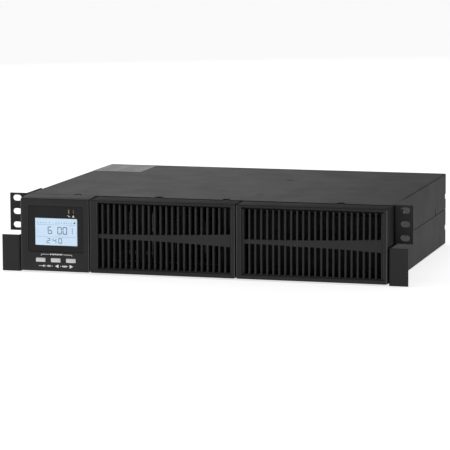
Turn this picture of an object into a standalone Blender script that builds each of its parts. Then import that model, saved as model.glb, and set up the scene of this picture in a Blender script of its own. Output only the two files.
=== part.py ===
"""Rack-mounted uninterruptible power supply, two rack units high.

Metres, +Z up, +X to the right of someone facing the front, +Y to the rear.
The origin is the centre of the footprint, on the surface the unit rests on.
Positions are given from the rack plane: the front face of the mounting ears.
"""
import math

import bmesh
import bpy
from mathutils import Matrix, Vector

MM = 0.001

# Overall
BODY_D = 310.0 * MM
FRONT_D = 29.2 * MM
BUTTON_PROUD = 0.8 * MM
TOTAL_D = BODY_D + FRONT_D + BUTTON_PROUD
RACK_Y = FRONT_D + BUTTON_PROUD - TOTAL_D / 2
GAP = 0.3 * MM
SHEET = 1.2 * MM

# Chassis, in millimetres from the rack plane
HALF_W = 219.0
TOP = 88.0
DEPTH = 310.0
SEAM_LOW = 43.4
SEAM_HIGH = 44.0
BEND = 1.5 * MM
INNER_X = 217.4
INNER_LOW = 1.6
INNER_HIGH = 86.4
REAR_FACE = 306.0
STANDOFF_X = (-198.0, 28.0)
STANDOFF_Y = (30.0, 255.0)
COVER_SLIT_X = (44.5, 52.0)
COVER_SLIT_Y = (56.5, 195.0)
SLIT_HALF = 1.1
SIDE_SLIT_Y = 244.0
SIDE_SLIT_Z = (42.0, 52.0)
REAR_NOTCH_Z = {"base": (18.0, 23.7), "cover": (56.5, 62.8)}
DISPLAY_PORT = (-198.0, -154.0, 22.0, 66.0)
BAY_PORT = (46.0, 215.8, 4.5, 76.0)
VENT_X = (-102.0, -54.0, -6.0)
VENT_Z = ((8.0, 40.0), (48.0, 80.0))
VENT_HALF = 20.0
TONGUE_X = (-159.0, -59.0, 22.0, 157.0)
TONGUE_HALF = 3.5
NOTCH_HALF = 3.9
NOTCH_DEPTH = 9.0
TONGUE_DEPTH = 6.5

# Front pieces
FRONT = -29.2
BACK = -0.4
TOP_TAPER = 1.5
LOW_TAPER = 1.3
SIDE_TAPER = 1.1
LOW_EDGE = 0.3
MODULE_X = (-219.0, -134.2)
MIDDLE_X = (-133.2, 41.0)
RIGHT_X = (42.0, 219.0)
SHELL_LOW = 3.9
SHELL_HIGH = 84.9
SHELL_SIDE = 2.5
SKIN = 2.2

# Grilles
GRILLE_FACE = -26.7
GRILLE_BACK = -17.2
SLOT_COUNT = 23
SLOT_PITCH = 7.01
SLOT_W = 4.2
SLOT_LOW = 7.4
SLOT_HIGH = 82.0
BAND_LOW = 42.15
BAND_HIGH = 47.0
BAND_FLARE = 4.9
MIDDLE_OPENING = (-123.9, 36.9, 6.5, 83.0)
RIGHT_OPENING = (48.2, 213.6, 6.4, 82.7)
MIDDLE_FIRST_SLOT = -123.1
RIGHT_FIRST_SLOT = 52.6

# Display module
WINDOW = (-208.5, -141.0, 24.4, 77.7)
LCD = (-200.3, -148.5, 31.8, 63.8)
LED_X = {"led_normal": -158.7, "led_fault": -153.0}
LED_LOW = 69.7
LED_HIGH = 74.5
LED_W = 1.6
BUTTON_X = {"button_left": -193.6, "button_middle": -175.05, "button_right": -156.45}
BUTTON_W = 11.7
BUTTON_LOW = 12.3
BUTTON_HIGH = 17.2
BOARD_FACE = -16.0
BOARD_SHEET = 1.6
SWITCH_TALL = 3.6
SWITCH_HALF = 3.0

# Rack brackets
PLATE = 2.0
PLATE_X = 219.3
PLATE_REAR = 50.0
BRACKET_LOW = 0.2
BRACKET_HIGH = 88.4
EAR_X = 241.3
EAR_LOW = 44.3
TAB_X = 241.5
TAB_Y = -27.4
TAB_HIGH = 42.8
SLOT_X = 232.4
EAR_SLOT_Z = (50.8, 66.675, 82.55)
EAR_SLOT_L = 10.9
EAR_SLOT_H = 7.2
BRACKET_SCREW_Y = 36.0
SCREW_HOLE = 2.1
BRACKET_SCREW_Z = {"upper": 76.0, "lower": 20.0}

# Battery bay
BAY_X = 44.0
BAY_REAR = 223.0
TRAY = ((47.0, 4.0, 5.0), (215.0, 217.0, 74.0))
TRAY_SHEET = 1.2
CELL_SIZE = (151.0, 94.0, 65.0)
CELL_Y = {"battery_front": 11.5, "battery_rear": 112.0}
CELL_FLOOR = 6.6
HANDLE_X = 131.0
HANDLE_HALF = 38.0
HANDLE_REACH = 13.0
HANDLE_Z = 40.0
HANDLE_WIRE = 2.5
HANDLE_CORNER = 5.0
RAIL_X = (64.0, 198.0)
RAIL_HALF = 3.0
CELL_TAB_INSET = 14.0
CELL_TAB_HALF = 3.1
CELL_TAB_Z = (50.0, 50.8)
PLUG = (120.4, 141.6, 26.4, 43.6)
PLUG_MARGIN = 2.0

# Power section
BOARD_FLOOR = 8.3
BOARD_TOP = 9.9
FAN_X = -166.0
FAN_Z = 44.0
FAN_SIZE = 80.0
FAN_DEEP = 25.0
FAN_BORE = 38.3
BOARD = (-208.0, 38.0, 20.0, 268.0)
CAPACITOR_RADIUS = 17.5
CAPACITOR_TALL = 45.0
INDUCTORS = (("inductor_boost", 5.0, 165.0), ("inductor_output", -55.0, 170.0))
INDUCTOR_MAJOR = 17.0
INDUCTOR_MINOR = 8.5
RELAYS = (("relay_input", -2.0), ("relay_bypass", 20.0))
SINK_X = (("heat_sink_left", -150.0), ("heat_sink_right", -104.0))
FAN_SCREW_INSET = 4.3
FAN_HUB = 18.5
FAN_BLADES = 7
GUARD_RADII = (14.0, 24.0, 34.0)
GUARD_WIRE = 0.8
CAPACITORS = ((-60.0, 70.0), (-20.0, 70.0), (-60.0, 112.0), (-20.0, 112.0))

# Rear panel
CARD = (-114.0, -4.0, 46.0, 82.0)
OUTLET_BLOCKS = {"outlet_block_left": 104.0, "outlet_block_right": 40.0}
OUTLET_Z = 44.0
OUTLET_PITCH = (29.0, 24.0)
INLET = (173.0, 58.0)
BREAKER = (173.0, 24.0)
USB_X = -104.0
SERIAL_X = -76.0
SURGE_X = -42.0
EPO_X = -14.0
PORT_Z = 22.0
COUPLER_CONTACTS = ((-7.0, -1.5), (7.0, -1.5), (0.0, 2.5))
INLET_PINS = ((-7.0, -2.0), (7.0, -2.0), (0.0, 2.0))
CARD_SCREW_INSET = 4.0
SURGE_OFFSET = 7.2


def spot(x, y, z):
    """A point given in millimetres from the rack plane, as metres."""
    return Vector((x * MM, y * MM + RACK_Y, z * MM))


def clear_scene():
    for item in list(bpy.data.objects):
        bpy.data.objects.remove(item, do_unlink=True)


def new_collection(name):
    group = bpy.data.collections.new(name)
    bpy.context.scene.collection.children.link(group)
    return group


clear_scene()
PARTS = new_collection("uninterruptible_power_supply")
TOOLS = new_collection("cutters")


def finish(name, color, roughness, metallic=0.0):
    material = bpy.data.materials.new(name)
    material.use_nodes = True
    shader = material.node_tree.nodes["Principled BSDF"]
    shader.inputs["Base Color"].default_value = (*color, 1.0)
    shader.inputs["Roughness"].default_value = roughness
    shader.inputs["Metallic"].default_value = metallic
    return material


PAINT = finish("black_paint", (0.045, 0.045, 0.047), 0.55)
PLASTIC = finish("black_plastic", (0.035, 0.035, 0.036), 0.5)
LENS = finish("black_lens", (0.02, 0.02, 0.021), 0.25)
SCREEN = finish("lcd_glass", (0.6, 0.76, 0.95), 0.3)
KEY = finish("grey_key", (0.72, 0.72, 0.72), 0.45)
GREEN_LED = finish("yellow_green_lens", (0.55, 0.6, 0.2), 0.3)
RED_LED = finish("red_lens", (0.4, 0.12, 0.14), 0.3)
STEEL = finish("zinc_steel", (0.62, 0.62, 0.6), 0.35, 1.0)
DARK_STEEL = finish("black_screw", (0.06, 0.06, 0.06), 0.4, 0.6)
CIRCUIT = finish("circuit_board", (0.03, 0.16, 0.07), 0.45)
ALUMINIUM = finish("aluminium", (0.7, 0.7, 0.72), 0.35, 1.0)
SLEEVE = finish("capacitor_sleeve", (0.03, 0.04, 0.09), 0.35)
COPPER = finish("copper_winding", (0.6, 0.27, 0.12), 0.35, 0.9)
FERRITE = finish("ferrite", (0.08, 0.08, 0.08), 0.7)
CASE = finish("battery_case", (0.07, 0.07, 0.075), 0.5)
CONNECTOR = finish("grey_connector", (0.3, 0.3, 0.32), 0.5)
TERMINAL = finish("green_terminal", (0.05, 0.35, 0.12), 0.45)


def add_object(name, mesh, place, material=None):
    """Link a part, or a hidden cutter when no material is given."""
    item = bpy.data.objects.new(name, mesh)
    item.location = place
    if material is None:
        TOOLS.objects.link(item)
        item.hide_render = True
        item.display_type = "WIRE"
        return item
    PARTS.objects.link(item)
    mesh.materials.append(material)
    return item


def mesh_from(name, shape):
    mesh = bpy.data.meshes.new(name)
    shape.to_mesh(mesh)
    shape.free()
    return mesh


def block(name, low, high, material=None):
    """A box between two corners, with its origin at its centre."""
    centre = (low + high) / 2
    size = high - low
    shape = bmesh.new()
    bmesh.ops.create_cube(shape, size=1.0, matrix=Matrix.Diagonal((*size, 1.0)))
    return add_object(name, mesh_from(name, shape), centre, material)


def comb(name, boxes):
    """Several separate boxes in one cutter."""
    shape = bmesh.new()
    for low, high in boxes:
        place = Matrix.Translation((low + high) / 2) @ Matrix.Diagonal((*(high - low), 1.0))
        bmesh.ops.create_cube(shape, size=1.0, matrix=place)
    return add_object(name, mesh_from(name, shape), Vector(), None)


TURN = {
    "X": Matrix.Rotation(math.pi / 2, 4, "Y"),
    "Y": Matrix.Rotation(math.pi / 2, 4, "X"),
    "Z": Matrix.Identity(4),
}
FACING = {
    "X": Matrix(((0, 0, 1, 0), (1, 0, 0, 0), (0, 1, 0, 0), (0, 0, 0, 1))),
    "Y": Matrix(((1, 0, 0, 0), (0, 0, -1, 0), (0, 1, 0, 0), (0, 0, 0, 1))),
    "Z": Matrix.Identity(4),
}


def round_shading(item, angle=35.0):
    item.data.shade_smooth()
    item.data.set_sharp_from_angle(angle=math.radians(angle))


def rod(name, centre, radius, length, axis, material=None, sides=24):
    """A cylinder along one axis, radius and length in millimetres."""
    shape = bmesh.new()
    bmesh.ops.create_cone(
        shape, cap_ends=True, segments=sides, radius1=radius * MM, radius2=radius * MM,
        depth=length * MM, matrix=TURN[axis])
    item = add_object(name, mesh_from(name, shape), centre, material)
    round_shading(item)
    return item


def outline_mesh(name, loops, thickness, facing):
    """Mesh of a flat outline in millimetres, with holes, extruded about its own plane."""
    curve = bpy.data.curves.new(name, "CURVE")
    curve.dimensions = "2D"
    curve.fill_mode = "BOTH"
    curve.extrude = thickness * MM / 2
    for loop in loops:
        spline = curve.splines.new("POLY")
        spline.points.add(len(loop) - 1)
        spline.use_cyclic_u = True
        for point, (across, along) in zip(spline.points, loop):
            point.co = (across * MM, along * MM, 0.0, 1.0)
    draft = bpy.data.objects.new(name, curve)
    TOOLS.objects.link(draft)
    evaluated = draft.evaluated_get(bpy.context.evaluated_depsgraph_get())
    mesh = bpy.data.meshes.new_from_object(evaluated)
    bpy.data.objects.remove(draft, do_unlink=True)
    shape = bmesh.new()
    shape.from_mesh(mesh)
    bmesh.ops.remove_doubles(shape, verts=shape.verts, dist=1e-6)
    bmesh.ops.transform(shape, matrix=FACING[facing], verts=shape.verts)
    bmesh.ops.recalc_face_normals(shape, faces=shape.faces)
    shape.to_mesh(mesh)
    shape.free()
    return mesh


def outline(name, loops, thickness, centre, facing, material=None):
    mesh = outline_mesh(name, loops, thickness, facing)
    return add_object(name, mesh, centre, material)


def arc(centre, radius, start, end, steps):
    points = []
    for step in range(steps + 1):
        angle = math.radians(start + (end - start) * step / steps)
        points.append((centre[0] + radius * math.cos(angle), centre[1] + radius * math.sin(angle)))
    return points


def rounded(x0, x1, z0, z1, radius, steps=4):
    """A rectangle with round corners."""
    points = arc((x1 - radius, z1 - radius), radius, 0, 90, steps)
    points += arc((x0 + radius, z1 - radius), radius, 90, 180, steps)
    points += arc((x0 + radius, z0 + radius), radius, 180, 270, steps)
    points += arc((x1 - radius, z0 + radius), radius, 270, 360, steps)
    return points


def square(x0, x1, z0, z1):
    return [(x0, z0), (x1, z0), (x1, z1), (x0, z1)]


def circle(x, z, radius, sides=32):
    return arc((x, z), radius, 0, 360.0 * (sides - 1) / sides, sides - 1)


def bevel(item, width, segments=2, angle=40.0):
    modifier = item.modifiers.new("bevel", "BEVEL")
    modifier.width = width * MM
    modifier.segments = segments
    modifier.limit_method = "ANGLE"
    modifier.angle_limit = math.radians(angle)
    modifier.use_clamp_overlap = True
    return modifier


def boolean(item, tool, operation):
    modifier = item.modifiers.new(tool.name, "BOOLEAN")
    modifier.operation = operation
    modifier.solver = "EXACT"
    modifier.object = tool


def cut(item, *tools):
    for tool in tools:
        boolean(item, tool, "DIFFERENCE")


def join(item, *tools):
    for tool in tools:
        boolean(item, tool, "UNION")


def sheet_tray(name, low, high, open_sides, thickness, material):
    """Sheet metal folded from a box: the open sides are left out, bends are rounded."""
    centre = (low + high) / 2
    size = high - low
    shape = bmesh.new()
    bmesh.ops.create_cube(shape, size=1.0, matrix=Matrix.Diagonal((*size, 1.0)))
    shape.normal_update()
    removed = []
    for face in shape.faces:
        for side in open_sides:
            if face.normal.dot(Vector(side)) > 0.9:
                removed.append(face)
    bmesh.ops.delete(shape, geom=removed, context="FACES")
    item = add_object(name, mesh_from(name, shape), centre, material)
    bends = bevel(item, BEND / MM, 3)
    skin = item.modifiers.new("sheet", "SOLIDIFY")
    skin.thickness = thickness * MM
    skin.offset = -1.0
    skin.use_even_offset = True
    return item


FORE = (0, -1, 0)
AFT = (0, 1, 0)
UP = (0, 0, 1)
DOWN = (0, 0, -1)


def screw_part(name, seat, axis, radius, height, material=DARK_STEEL):
    """Pan-head screw with a cross recess, its head standing on the seat along an axis."""
    way = Vector(axis)
    letter = "X" if abs(way.x) > 0.5 else "Y"
    shank = 4.0
    item = rod(name, seat + way * (height / 2 + GAP / MM) * MM, radius, height, letter, material, 14)
    tip = seat + way * (GAP / MM + height) * MM
    half = Vector((0.45, 0.45, 0.45))
    reach = Vector((1.2, 1.2, 1.2))
    slots = []
    for index in range(3):
        if abs(way[index]) > 0.5:
            continue
        size = half.copy()
        size[index] = reach[index] * radius / 2
        slots.append(size * MM)
    for number, size in enumerate(slots):
        cross = block(f"{name}_cross_{number}", tip - size, tip + size)
        cut(item, cross)
    stem = rod(f"{name}_shank", seat - way * (shank / 2 - GAP / MM - 0.4) * MM, radius * 0.45,
               shank, letter, None, 8)
    join(item, stem)
    return item


# Chassis
def build_chassis():
    base = sheet_tray("base_chassis", spot(-HALF_W, 0, 0), spot(HALF_W, DEPTH, SEAM_LOW),
                      (UP, FORE, AFT), SHEET / MM, PAINT)
    for y in STANDOFF_Y:
        for x in STANDOFF_X:
            join(base, rod(f"standoff_{x:.0f}_{y:.0f}", spot(x, y, 4.5), 3.2, 7.0, "Z", None, 12))
    for number, x in enumerate(RAIL_X):
        low = spot(x - RAIL_HALF, 6, SHEET / MM - 0.3)
        high = spot(x + RAIL_HALF, 214, TRAY[0][2] - 0.4)
        join(base, block(f"tray_rail_{number}", low, high))
    cut(base, comb("base_notches", rear_notches("base")), bracket_hole("base", "lower"))

    cover = sheet_tray("top_cover", spot(-HALF_W, 0, SEAM_HIGH), spot(HALF_W, DEPTH, TOP),
                       (DOWN, FORE, AFT), SHEET / MM, PAINT)
    notches = rear_notches("cover")
    for x in TONGUE_X:
        notches.append((spot(x - NOTCH_HALF, -2, TOP - 4), spot(x + NOTCH_HALF, NOTCH_DEPTH, TOP + 2)))
    for y in COVER_SLIT_Y:
        notches.append((spot(COVER_SLIT_X[0], y - SLIT_HALF, TOP - 4),
                        spot(COVER_SLIT_X[1], y + SLIT_HALF, TOP + 2)))
    for side in (-1, 1):
        notches.append((spot(side * HALF_W - 2, SIDE_SLIT_Y - 1, SIDE_SLIT_Z[0]),
                        spot(side * HALF_W + 2, SIDE_SLIT_Y + 1, SIDE_SLIT_Z[1])))
    cut(cover, comb("cover_notches", notches), bracket_hole("cover", "upper"))

    holes = [square(-INNER_X, INNER_X, INNER_LOW, INNER_HIGH)]
    holes.append(rounded(*DISPLAY_PORT, 3, 2))
    holes.append(rounded(*BAY_PORT, 2, 2))
    for x in VENT_X:
        for low, high in VENT_Z:
            holes.append(rounded(x - VENT_HALF, x + VENT_HALF, low, high, 3, 2))
    outline("front_frame", holes, SHEET / MM, spot(0, 0.6, 0), "Y", PAINT)
    build_rear_panel()
    build_bay_wall()


def rear_notches(part):
    """Cuts in the rear edge of both side walls."""
    low, high = REAR_NOTCH_Z[part]
    cuts = []
    for side in (-1, 1):
        cuts.append((spot(side * HALF_W - 2, DEPTH - 4, low), spot(side * HALF_W + 2, DEPTH + 2, high)))
    return cuts


def bracket_hole(name, level):
    """One rod across the whole width: the holes for a pair of bracket screws."""
    return rod(f"{name}_screw_holes", spot(0, BRACKET_SCREW_Y, BRACKET_SCREW_Z[level]), SCREW_HOLE,
               2 * HALF_W + 20, "X", None, 12)


def build_rear_panel():
    holes = [square(-INNER_X, INNER_X, INNER_LOW, INNER_HIGH)]
    holes.append(circle(FAN_X, FAN_Z, 37.0, 32))
    holes.append(square(CARD[0] + 8, CARD[1] - 8, CARD[2] + 3, CARD[3] - 3))
    for x in (CARD[0] + CARD_SCREW_INSET, CARD[1] - CARD_SCREW_INSET):
        holes.append(circle(x, (CARD[2] + CARD[3]) / 2, SCREW_HOLE, 12))
    for x in OUTLET_BLOCKS.values():
        holes.append(square(x - 27.5, x + 27.5, OUTLET_Z - 22.5, OUTLET_Z + 22.5))
    holes.append(square(INLET[0] - 14.5, INLET[0] + 14.5, INLET[1] - 11, INLET[1] + 11))
    holes.append(circle(BREAKER[0], BREAKER[1], 6.2, 16))
    ports = ((USB_X, 7.2, 6.6), (SERIAL_X, 16.8, 7.2), (SURGE_X, 15.2, 8.2), (EPO_X, 7.2, 5.8))
    for x, half_w, half_h in ports:
        holes.append(square(x - half_w, x + half_w, PORT_Z - half_h, PORT_Z + half_h))
    outline("rear_panel", holes, SHEET / MM, spot(0, REAR_FACE - 0.6, 0), "Y", PAINT)


def build_bay_wall():
    start = Vector((BAY_X + 0.6, 2.0))
    corner = Vector((BAY_X + 0.6, BAY_REAR))
    end = Vector((INNER_X - 0.4, BAY_REAR))
    points = bent_outline(start, corner, end, SHEET / MM, 1.5)
    wall = outline("bay_wall", [points], INNER_HIGH - INNER_LOW, spot(0, 0, (INNER_HIGH + INNER_LOW) / 2),
                   "Z", STEEL)
    cut(wall, block("socket_window", spot(118, BAY_REAR - 3, 24), spot(144, BAY_REAR + 3, 46)))


def bent_outline(start, corner, end, thickness, inner_radius, steps=4):
    """Closed outline of a sheet bent once by a right angle, from its centre line."""
    before = (corner - start).normalized()
    after = (end - corner).normalized()
    radius = inner_radius + thickness / 2
    pivot = corner - before * radius + after * radius
    ways = [-after]
    centres = [start]
    for step in range(steps + 1):
        angle = math.pi / 2 * step / steps
        way = before * math.sin(angle) - after * math.cos(angle)
        ways.append(way)
        centres.append(pivot + way * radius)
    ways.append(before)
    centres.append(end)
    outer = [tuple(point + way * thickness / 2) for point, way in zip(centres, ways)]
    inner = [tuple(point - way * thickness / 2) for point, way in zip(centres, ways)]
    return outer + inner[::-1]


# Front bezels and grilles
def front_block(name, x0, x1, left_taper, right_taper, material):
    """Moulded front block: its face is smaller than its back, by the draft of the walls."""
    centre = spot((x0 + x1) / 2, (FRONT + BACK) / 2, (LOW_EDGE + TOP) / 2)
    size = Vector((x1 - x0, BACK - FRONT, TOP - LOW_EDGE)) * MM
    shape = bmesh.new()
    bmesh.ops.create_cube(shape, size=1.0, matrix=Matrix.Diagonal((*size, 1.0)))
    for vertex in shape.verts:
        if vertex.co.y > 0:
            continue
        vertex.co.x += (left_taper if vertex.co.x < 0 else -right_taper) * MM
        vertex.co.z += (LOW_TAPER if vertex.co.z < 0 else -TOP_TAPER) * MM
    item = add_object(name, mesh_from(name, shape), centre, material)
    bevel(item, 0.9, 2)
    return item


def hollow_shell(item, x0, x1, opening):
    pocket = block(f"{item.name}_pocket", spot(x0 + SHELL_SIDE, FRONT + SKIN, SHELL_LOW),
                   spot(x1 - SHELL_SIDE, BACK + 5, SHELL_HIGH))
    front = block(f"{item.name}_opening", spot(opening[0], FRONT - 3, opening[2]),
                  spot(opening[1], FRONT + SKIN + 3, opening[3]))
    cut(item, pocket, front)


def add_tongues(item, x0, x1):
    """Latch tongues that reach into the notches of the top cover."""
    for number, x in enumerate(TONGUE_X):
        if x0 < x < x1:
            tongue = block(f"{item.name}_tongue_{number}", spot(x - TONGUE_HALF, BACK - 3, TOP - 1.0),
                           spot(x + TONGUE_HALF, TONGUE_DEPTH, TOP - 0.35))
            join(item, tongue)


def band_half(fraction):
    """Growth of the plain band between the two rows of slots."""
    return BAND_FLARE * (0.25 * fraction + 0.75 * fraction ** 2)


def slot_cutter(name, first, low, high):
    """All slots of one grille. Their inner ends follow the edges of the widening band."""
    shape = bmesh.new()
    width = SLOT_PITCH * (SLOT_COUNT - 1) + SLOT_W
    for column in range(SLOT_COUNT):
        x0 = first + SLOT_PITCH * column
        for end, band, sign in ((low, BAND_LOW, -1), (high, BAND_HIGH, 1)):
            start = spot(x0, GRILLE_FACE - 2, min(end, band))
            stop = spot(x0 + SLOT_W, GRILLE_BACK + 2, max(end, band))
            place = Matrix.Translation((start + stop) / 2) @ Matrix.Diagonal((*(stop - start), 1.0))
            made = bmesh.ops.create_cube(shape, size=1.0, matrix=place)
            for vertex in made["verts"]:
                if abs(vertex.co.z - band * MM) < 1e-5:
                    fraction = (vertex.co.x / MM - first) / width
                    vertex.co.z += sign * band_half(fraction) * MM
    return add_object(name, mesh_from(name, shape), Vector(), None)


def build_bezel(name, x_range, opening, first_slot, right_taper):
    x0, x1 = x_range
    frame = front_block(f"bezel_{name}", x0, x1, 0.0, right_taper, PLASTIC)
    hollow_shell(frame, x0, x1, opening)
    add_tongues(frame, x0, x1)
    edge = 0.3
    grille = block(f"grille_{name}",
                   spot(x0 + SHELL_SIDE + edge, GRILLE_FACE, SHELL_LOW + edge),
                   spot(x1 - SHELL_SIDE - edge, GRILLE_BACK, SHELL_HIGH - edge), PLASTIC)
    cut(grille, slot_cutter(f"slots_{name}", first_slot, SLOT_LOW, SLOT_HIGH))


# Display module
def build_display():
    x0, x1 = MODULE_X
    housing = front_block("display_housing", x0, x1, SIDE_TAPER, 0.0, PLASTIC)
    pocket = block("module_pocket", spot(x0 + SHELL_SIDE, FRONT + 3.0, SHELL_LOW),
                   spot(x1 - SHELL_SIDE, BACK + 5, SHELL_HIGH))
    cut(housing, pocket)
    recess = outline("window_recess", [rounded(*grown(WINDOW, 0.2), 2.0, 3)], 4.0,
                     spot(0, FRONT - 0.2, 0), "Y")
    through = block("window_opening", spot(-205, FRONT - 2, 28), spot(-145, FRONT + 5, 76))
    cut(housing, recess, through)
    holes = []
    for x in BUTTON_X.values():
        holes.append((spot(x - BUTTON_W / 2 - 0.3, FRONT - 2, BUTTON_LOW - 0.3),
                      spot(x + BUTTON_W / 2 + 0.3, FRONT + 5, BUTTON_HIGH + 0.3)))
    cut(housing, comb("button_holes", holes))
    add_tongues(housing, x0, x1)

    outline("display_window", [
        rounded(*grown(WINDOW, -0.1), 1.8, 3), square(*LCD),
        *[square(x - LED_W / 2 - 0.3, x + LED_W / 2 + 0.3, LED_LOW - 0.3, LED_HIGH + 0.3)
          for x in LED_X.values()]],
        0.9, spot(0, FRONT + 1.05, 0), "Y", LENS)

    screen = block("lcd_panel", spot(-203.5, -26.9, 29.6), spot(-146.2, -16.4, 66.4), SCREEN)
    face = block("lcd_face", spot(LCD[0] + 0.3, FRONT + 0.9, LCD[2] + 0.3),
                 spot(LCD[1] - 0.3, -25.0, LCD[3] - 0.3))
    join(screen, face)

    for name, x in LED_X.items():
        tint = GREEN_LED if name == "led_normal" else RED_LED
        block(name, spot(x - LED_W / 2, FRONT + 0.45, LED_LOW),
              spot(x + LED_W / 2, BOARD_FACE - 0.4, LED_HIGH), tint)

    board = block("display_board", spot(-214, BOARD_FACE, 6),
                  spot(-139, BOARD_FACE + BOARD_SHEET, 80), CIRCUIT)
    middle = (BUTTON_LOW + BUTTON_HIGH) / 2
    for name, x in BUTTON_X.items():
        low = spot(x - SWITCH_HALF, BOARD_FACE - SWITCH_TALL, middle - SWITCH_HALF)
        high = spot(x + SWITCH_HALF, BOARD_FACE + 0.5, middle + SWITCH_HALF)
        switch = block(f"{name}_switch", low, high)
        join(board, switch)
        build_button(name, x, middle)


def grown(area, margin):
    return (area[0] - margin, area[1] + margin, area[2] - margin, area[3] + margin)


def build_button(name, x, middle):
    """Key cap with a retaining flange behind the wall and a stem that meets the switch."""
    proud = FRONT - BUTTON_PROUD / MM
    cap = block(name, spot(x - BUTTON_W / 2, proud, BUTTON_LOW),
                spot(x + BUTTON_W / 2, FRONT + 4.2, BUTTON_HIGH), KEY)
    bevel(cap, 0.5, 2)
    flange = block(f"{name}_flange", spot(x - BUTTON_W / 2 - 1, FRONT + 3.4, BUTTON_LOW - 1),
                   spot(x + BUTTON_W / 2 + 1, FRONT + 4.4, BUTTON_HIGH + 1))
    stem = block(f"{name}_stem", spot(x - 2, FRONT + 4.0, middle - 2),
                 spot(x + 2, BOARD_FACE - 4.9, middle + 2))
    join(cap, flange, stem)


# Rack brackets
def build_bracket(side, sign):
    """Bent plate: a slotted ear at the rack plane above, a pull tab further forward below."""
    centre_x = PLATE_X + PLATE / 2
    overlap = Vector((centre_x, 9.0))
    ear = bent_outline(Vector((EAR_X, PLATE / 2)), Vector((centre_x, PLATE / 2)), overlap, PLATE, 0.6)
    tab = bent_outline(Vector((TAB_X, TAB_Y + PLATE / 2)), Vector((centre_x, TAB_Y + PLATE / 2)), overlap,
                       PLATE, 0.6)
    ear = [(sign * x, y) for x, y in ear]
    tab = [(sign * x, y) for x, y in tab]
    plate = block(f"rack_bracket_{side}",
                  spot(min(sign * PLATE_X, sign * (PLATE_X + PLATE)), 6.0, BRACKET_LOW),
                  spot(max(sign * PLATE_X, sign * (PLATE_X + PLATE)), PLATE_REAR, BRACKET_HIGH), PAINT)
    upper = outline(f"ear_{side}", [ear], BRACKET_HIGH - EAR_LOW,
                    spot(0, 0, (BRACKET_HIGH + EAR_LOW) / 2), "Z")
    lower = outline(f"tab_{side}", [tab], TAB_HIGH - BRACKET_LOW,
                    spot(0, 0, (TAB_HIGH + BRACKET_LOW) / 2), "Z")
    join(plate, upper, lower)
    for number, z in enumerate(EAR_SLOT_Z):
        loop = rounded(sign * SLOT_X - EAR_SLOT_L / 2, sign * SLOT_X + EAR_SLOT_L / 2,
                       z - EAR_SLOT_H / 2, z + EAR_SLOT_H / 2, EAR_SLOT_H / 2 - 0.01, 3)
        cut(plate, outline(f"ear_slot_{side}_{number}", [loop], 12.0, spot(0, 1, 0), "Y"))
    for level, z in BRACKET_SCREW_Z.items():
        seat = spot(sign * (PLATE_X + PLATE), BRACKET_SCREW_Y, z)
        cut(plate, rod(f"screw_hole_{side}_{level}", seat, SCREW_HOLE, 12.0, "X", None, 12))
        screw_part(f"bracket_screw_{side}_{level}", seat, (sign, 0, 0), 3.6, 2.0)


# Battery bay
def build_battery():
    low, high = TRAY
    tray = sheet_tray("battery_tray", spot(*low), spot(*high), (UP,), TRAY_SHEET, PAINT)
    cut(tray, block("plug_window", spot(120, high[1] - 4, 26), spot(142, high[1] + 3, 44)))
    for name, y in CELL_Y.items():
        x0 = HANDLE_X - CELL_SIZE[0] / 2
        x1 = HANDLE_X + CELL_SIZE[0] / 2
        cell = block(name, spot(x0, y, CELL_FLOOR),
                     spot(x1, y + CELL_SIZE[1], CELL_FLOOR + CELL_SIZE[2]), CASE)
        bevel(cell, 1.5, 1)
        for number, x in enumerate((x0 + CELL_TAB_INSET, x1 - CELL_TAB_INSET)):
            tab = block(f"{name}_tab_{number}", spot(x - CELL_TAB_HALF, y - 4.5, CELL_TAB_Z[0]),
                        spot(x + CELL_TAB_HALF, y + 2, CELL_TAB_Z[1]))
            join(cell, tab)
    build_handle()
    x0, x1, z0, z1 = PLUG
    plug = block("battery_plug", spot(x0, high[1] - 10, z0), spot(x1, high[1] + 2.2, z1), CONNECTOR)
    bevel(plug, 0.8, 1)
    x0, x1, z0, z1 = grown(PLUG, PLUG_MARGIN)
    socket = block("battery_socket", spot(x0, high[1] + 2.6, z0), spot(x1, BAY_REAR + 14, z1), CONNECTOR)
    bevel(socket, 0.8, 1)


def build_handle():
    """Wire bail fixed to the front wall of the tray."""
    tray_face = TRAY[0][1]
    curve = bpy.data.curves.new("tray_handle", "CURVE")
    curve.dimensions = "3D"
    curve.bevel_depth = HANDLE_WIRE * MM
    curve.bevel_resolution = 2
    curve.use_fill_caps = True
    spline = curve.splines.new("POLY")
    reach = -HANDLE_REACH + 3.5
    bend = HANDLE_CORNER
    route = [(-HANDLE_HALF, tray_face - 0.3)]
    route += arc((-HANDLE_HALF + bend, reach + bend), bend, 180, 270, 4)
    route += arc((HANDLE_HALF - bend, reach + bend), bend, 270, 360, 4)
    route += [(HANDLE_HALF, tray_face - 0.3)]
    spline.points.add(len(route) - 1)
    for point, (x, y) in zip(spline.points, route):
        point.co = (x * MM, y * MM, 0.0, 1.0)
    draft = bpy.data.objects.new("tray_handle_wire", curve)
    TOOLS.objects.link(draft)
    evaluated = draft.evaluated_get(bpy.context.evaluated_depsgraph_get())
    mesh = bpy.data.meshes.new_from_object(evaluated)
    bpy.data.objects.remove(draft, do_unlink=True)
    shape = bmesh.new()
    shape.from_mesh(mesh)
    bmesh.ops.remove_doubles(shape, verts=shape.verts, dist=1e-6)
    bmesh.ops.recalc_face_normals(shape, faces=shape.faces)
    shape.to_mesh(mesh)
    shape.free()
    item = add_object("tray_handle", mesh, spot(HANDLE_X, 0, HANDLE_Z), STEEL)
    round_shading(item)


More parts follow.
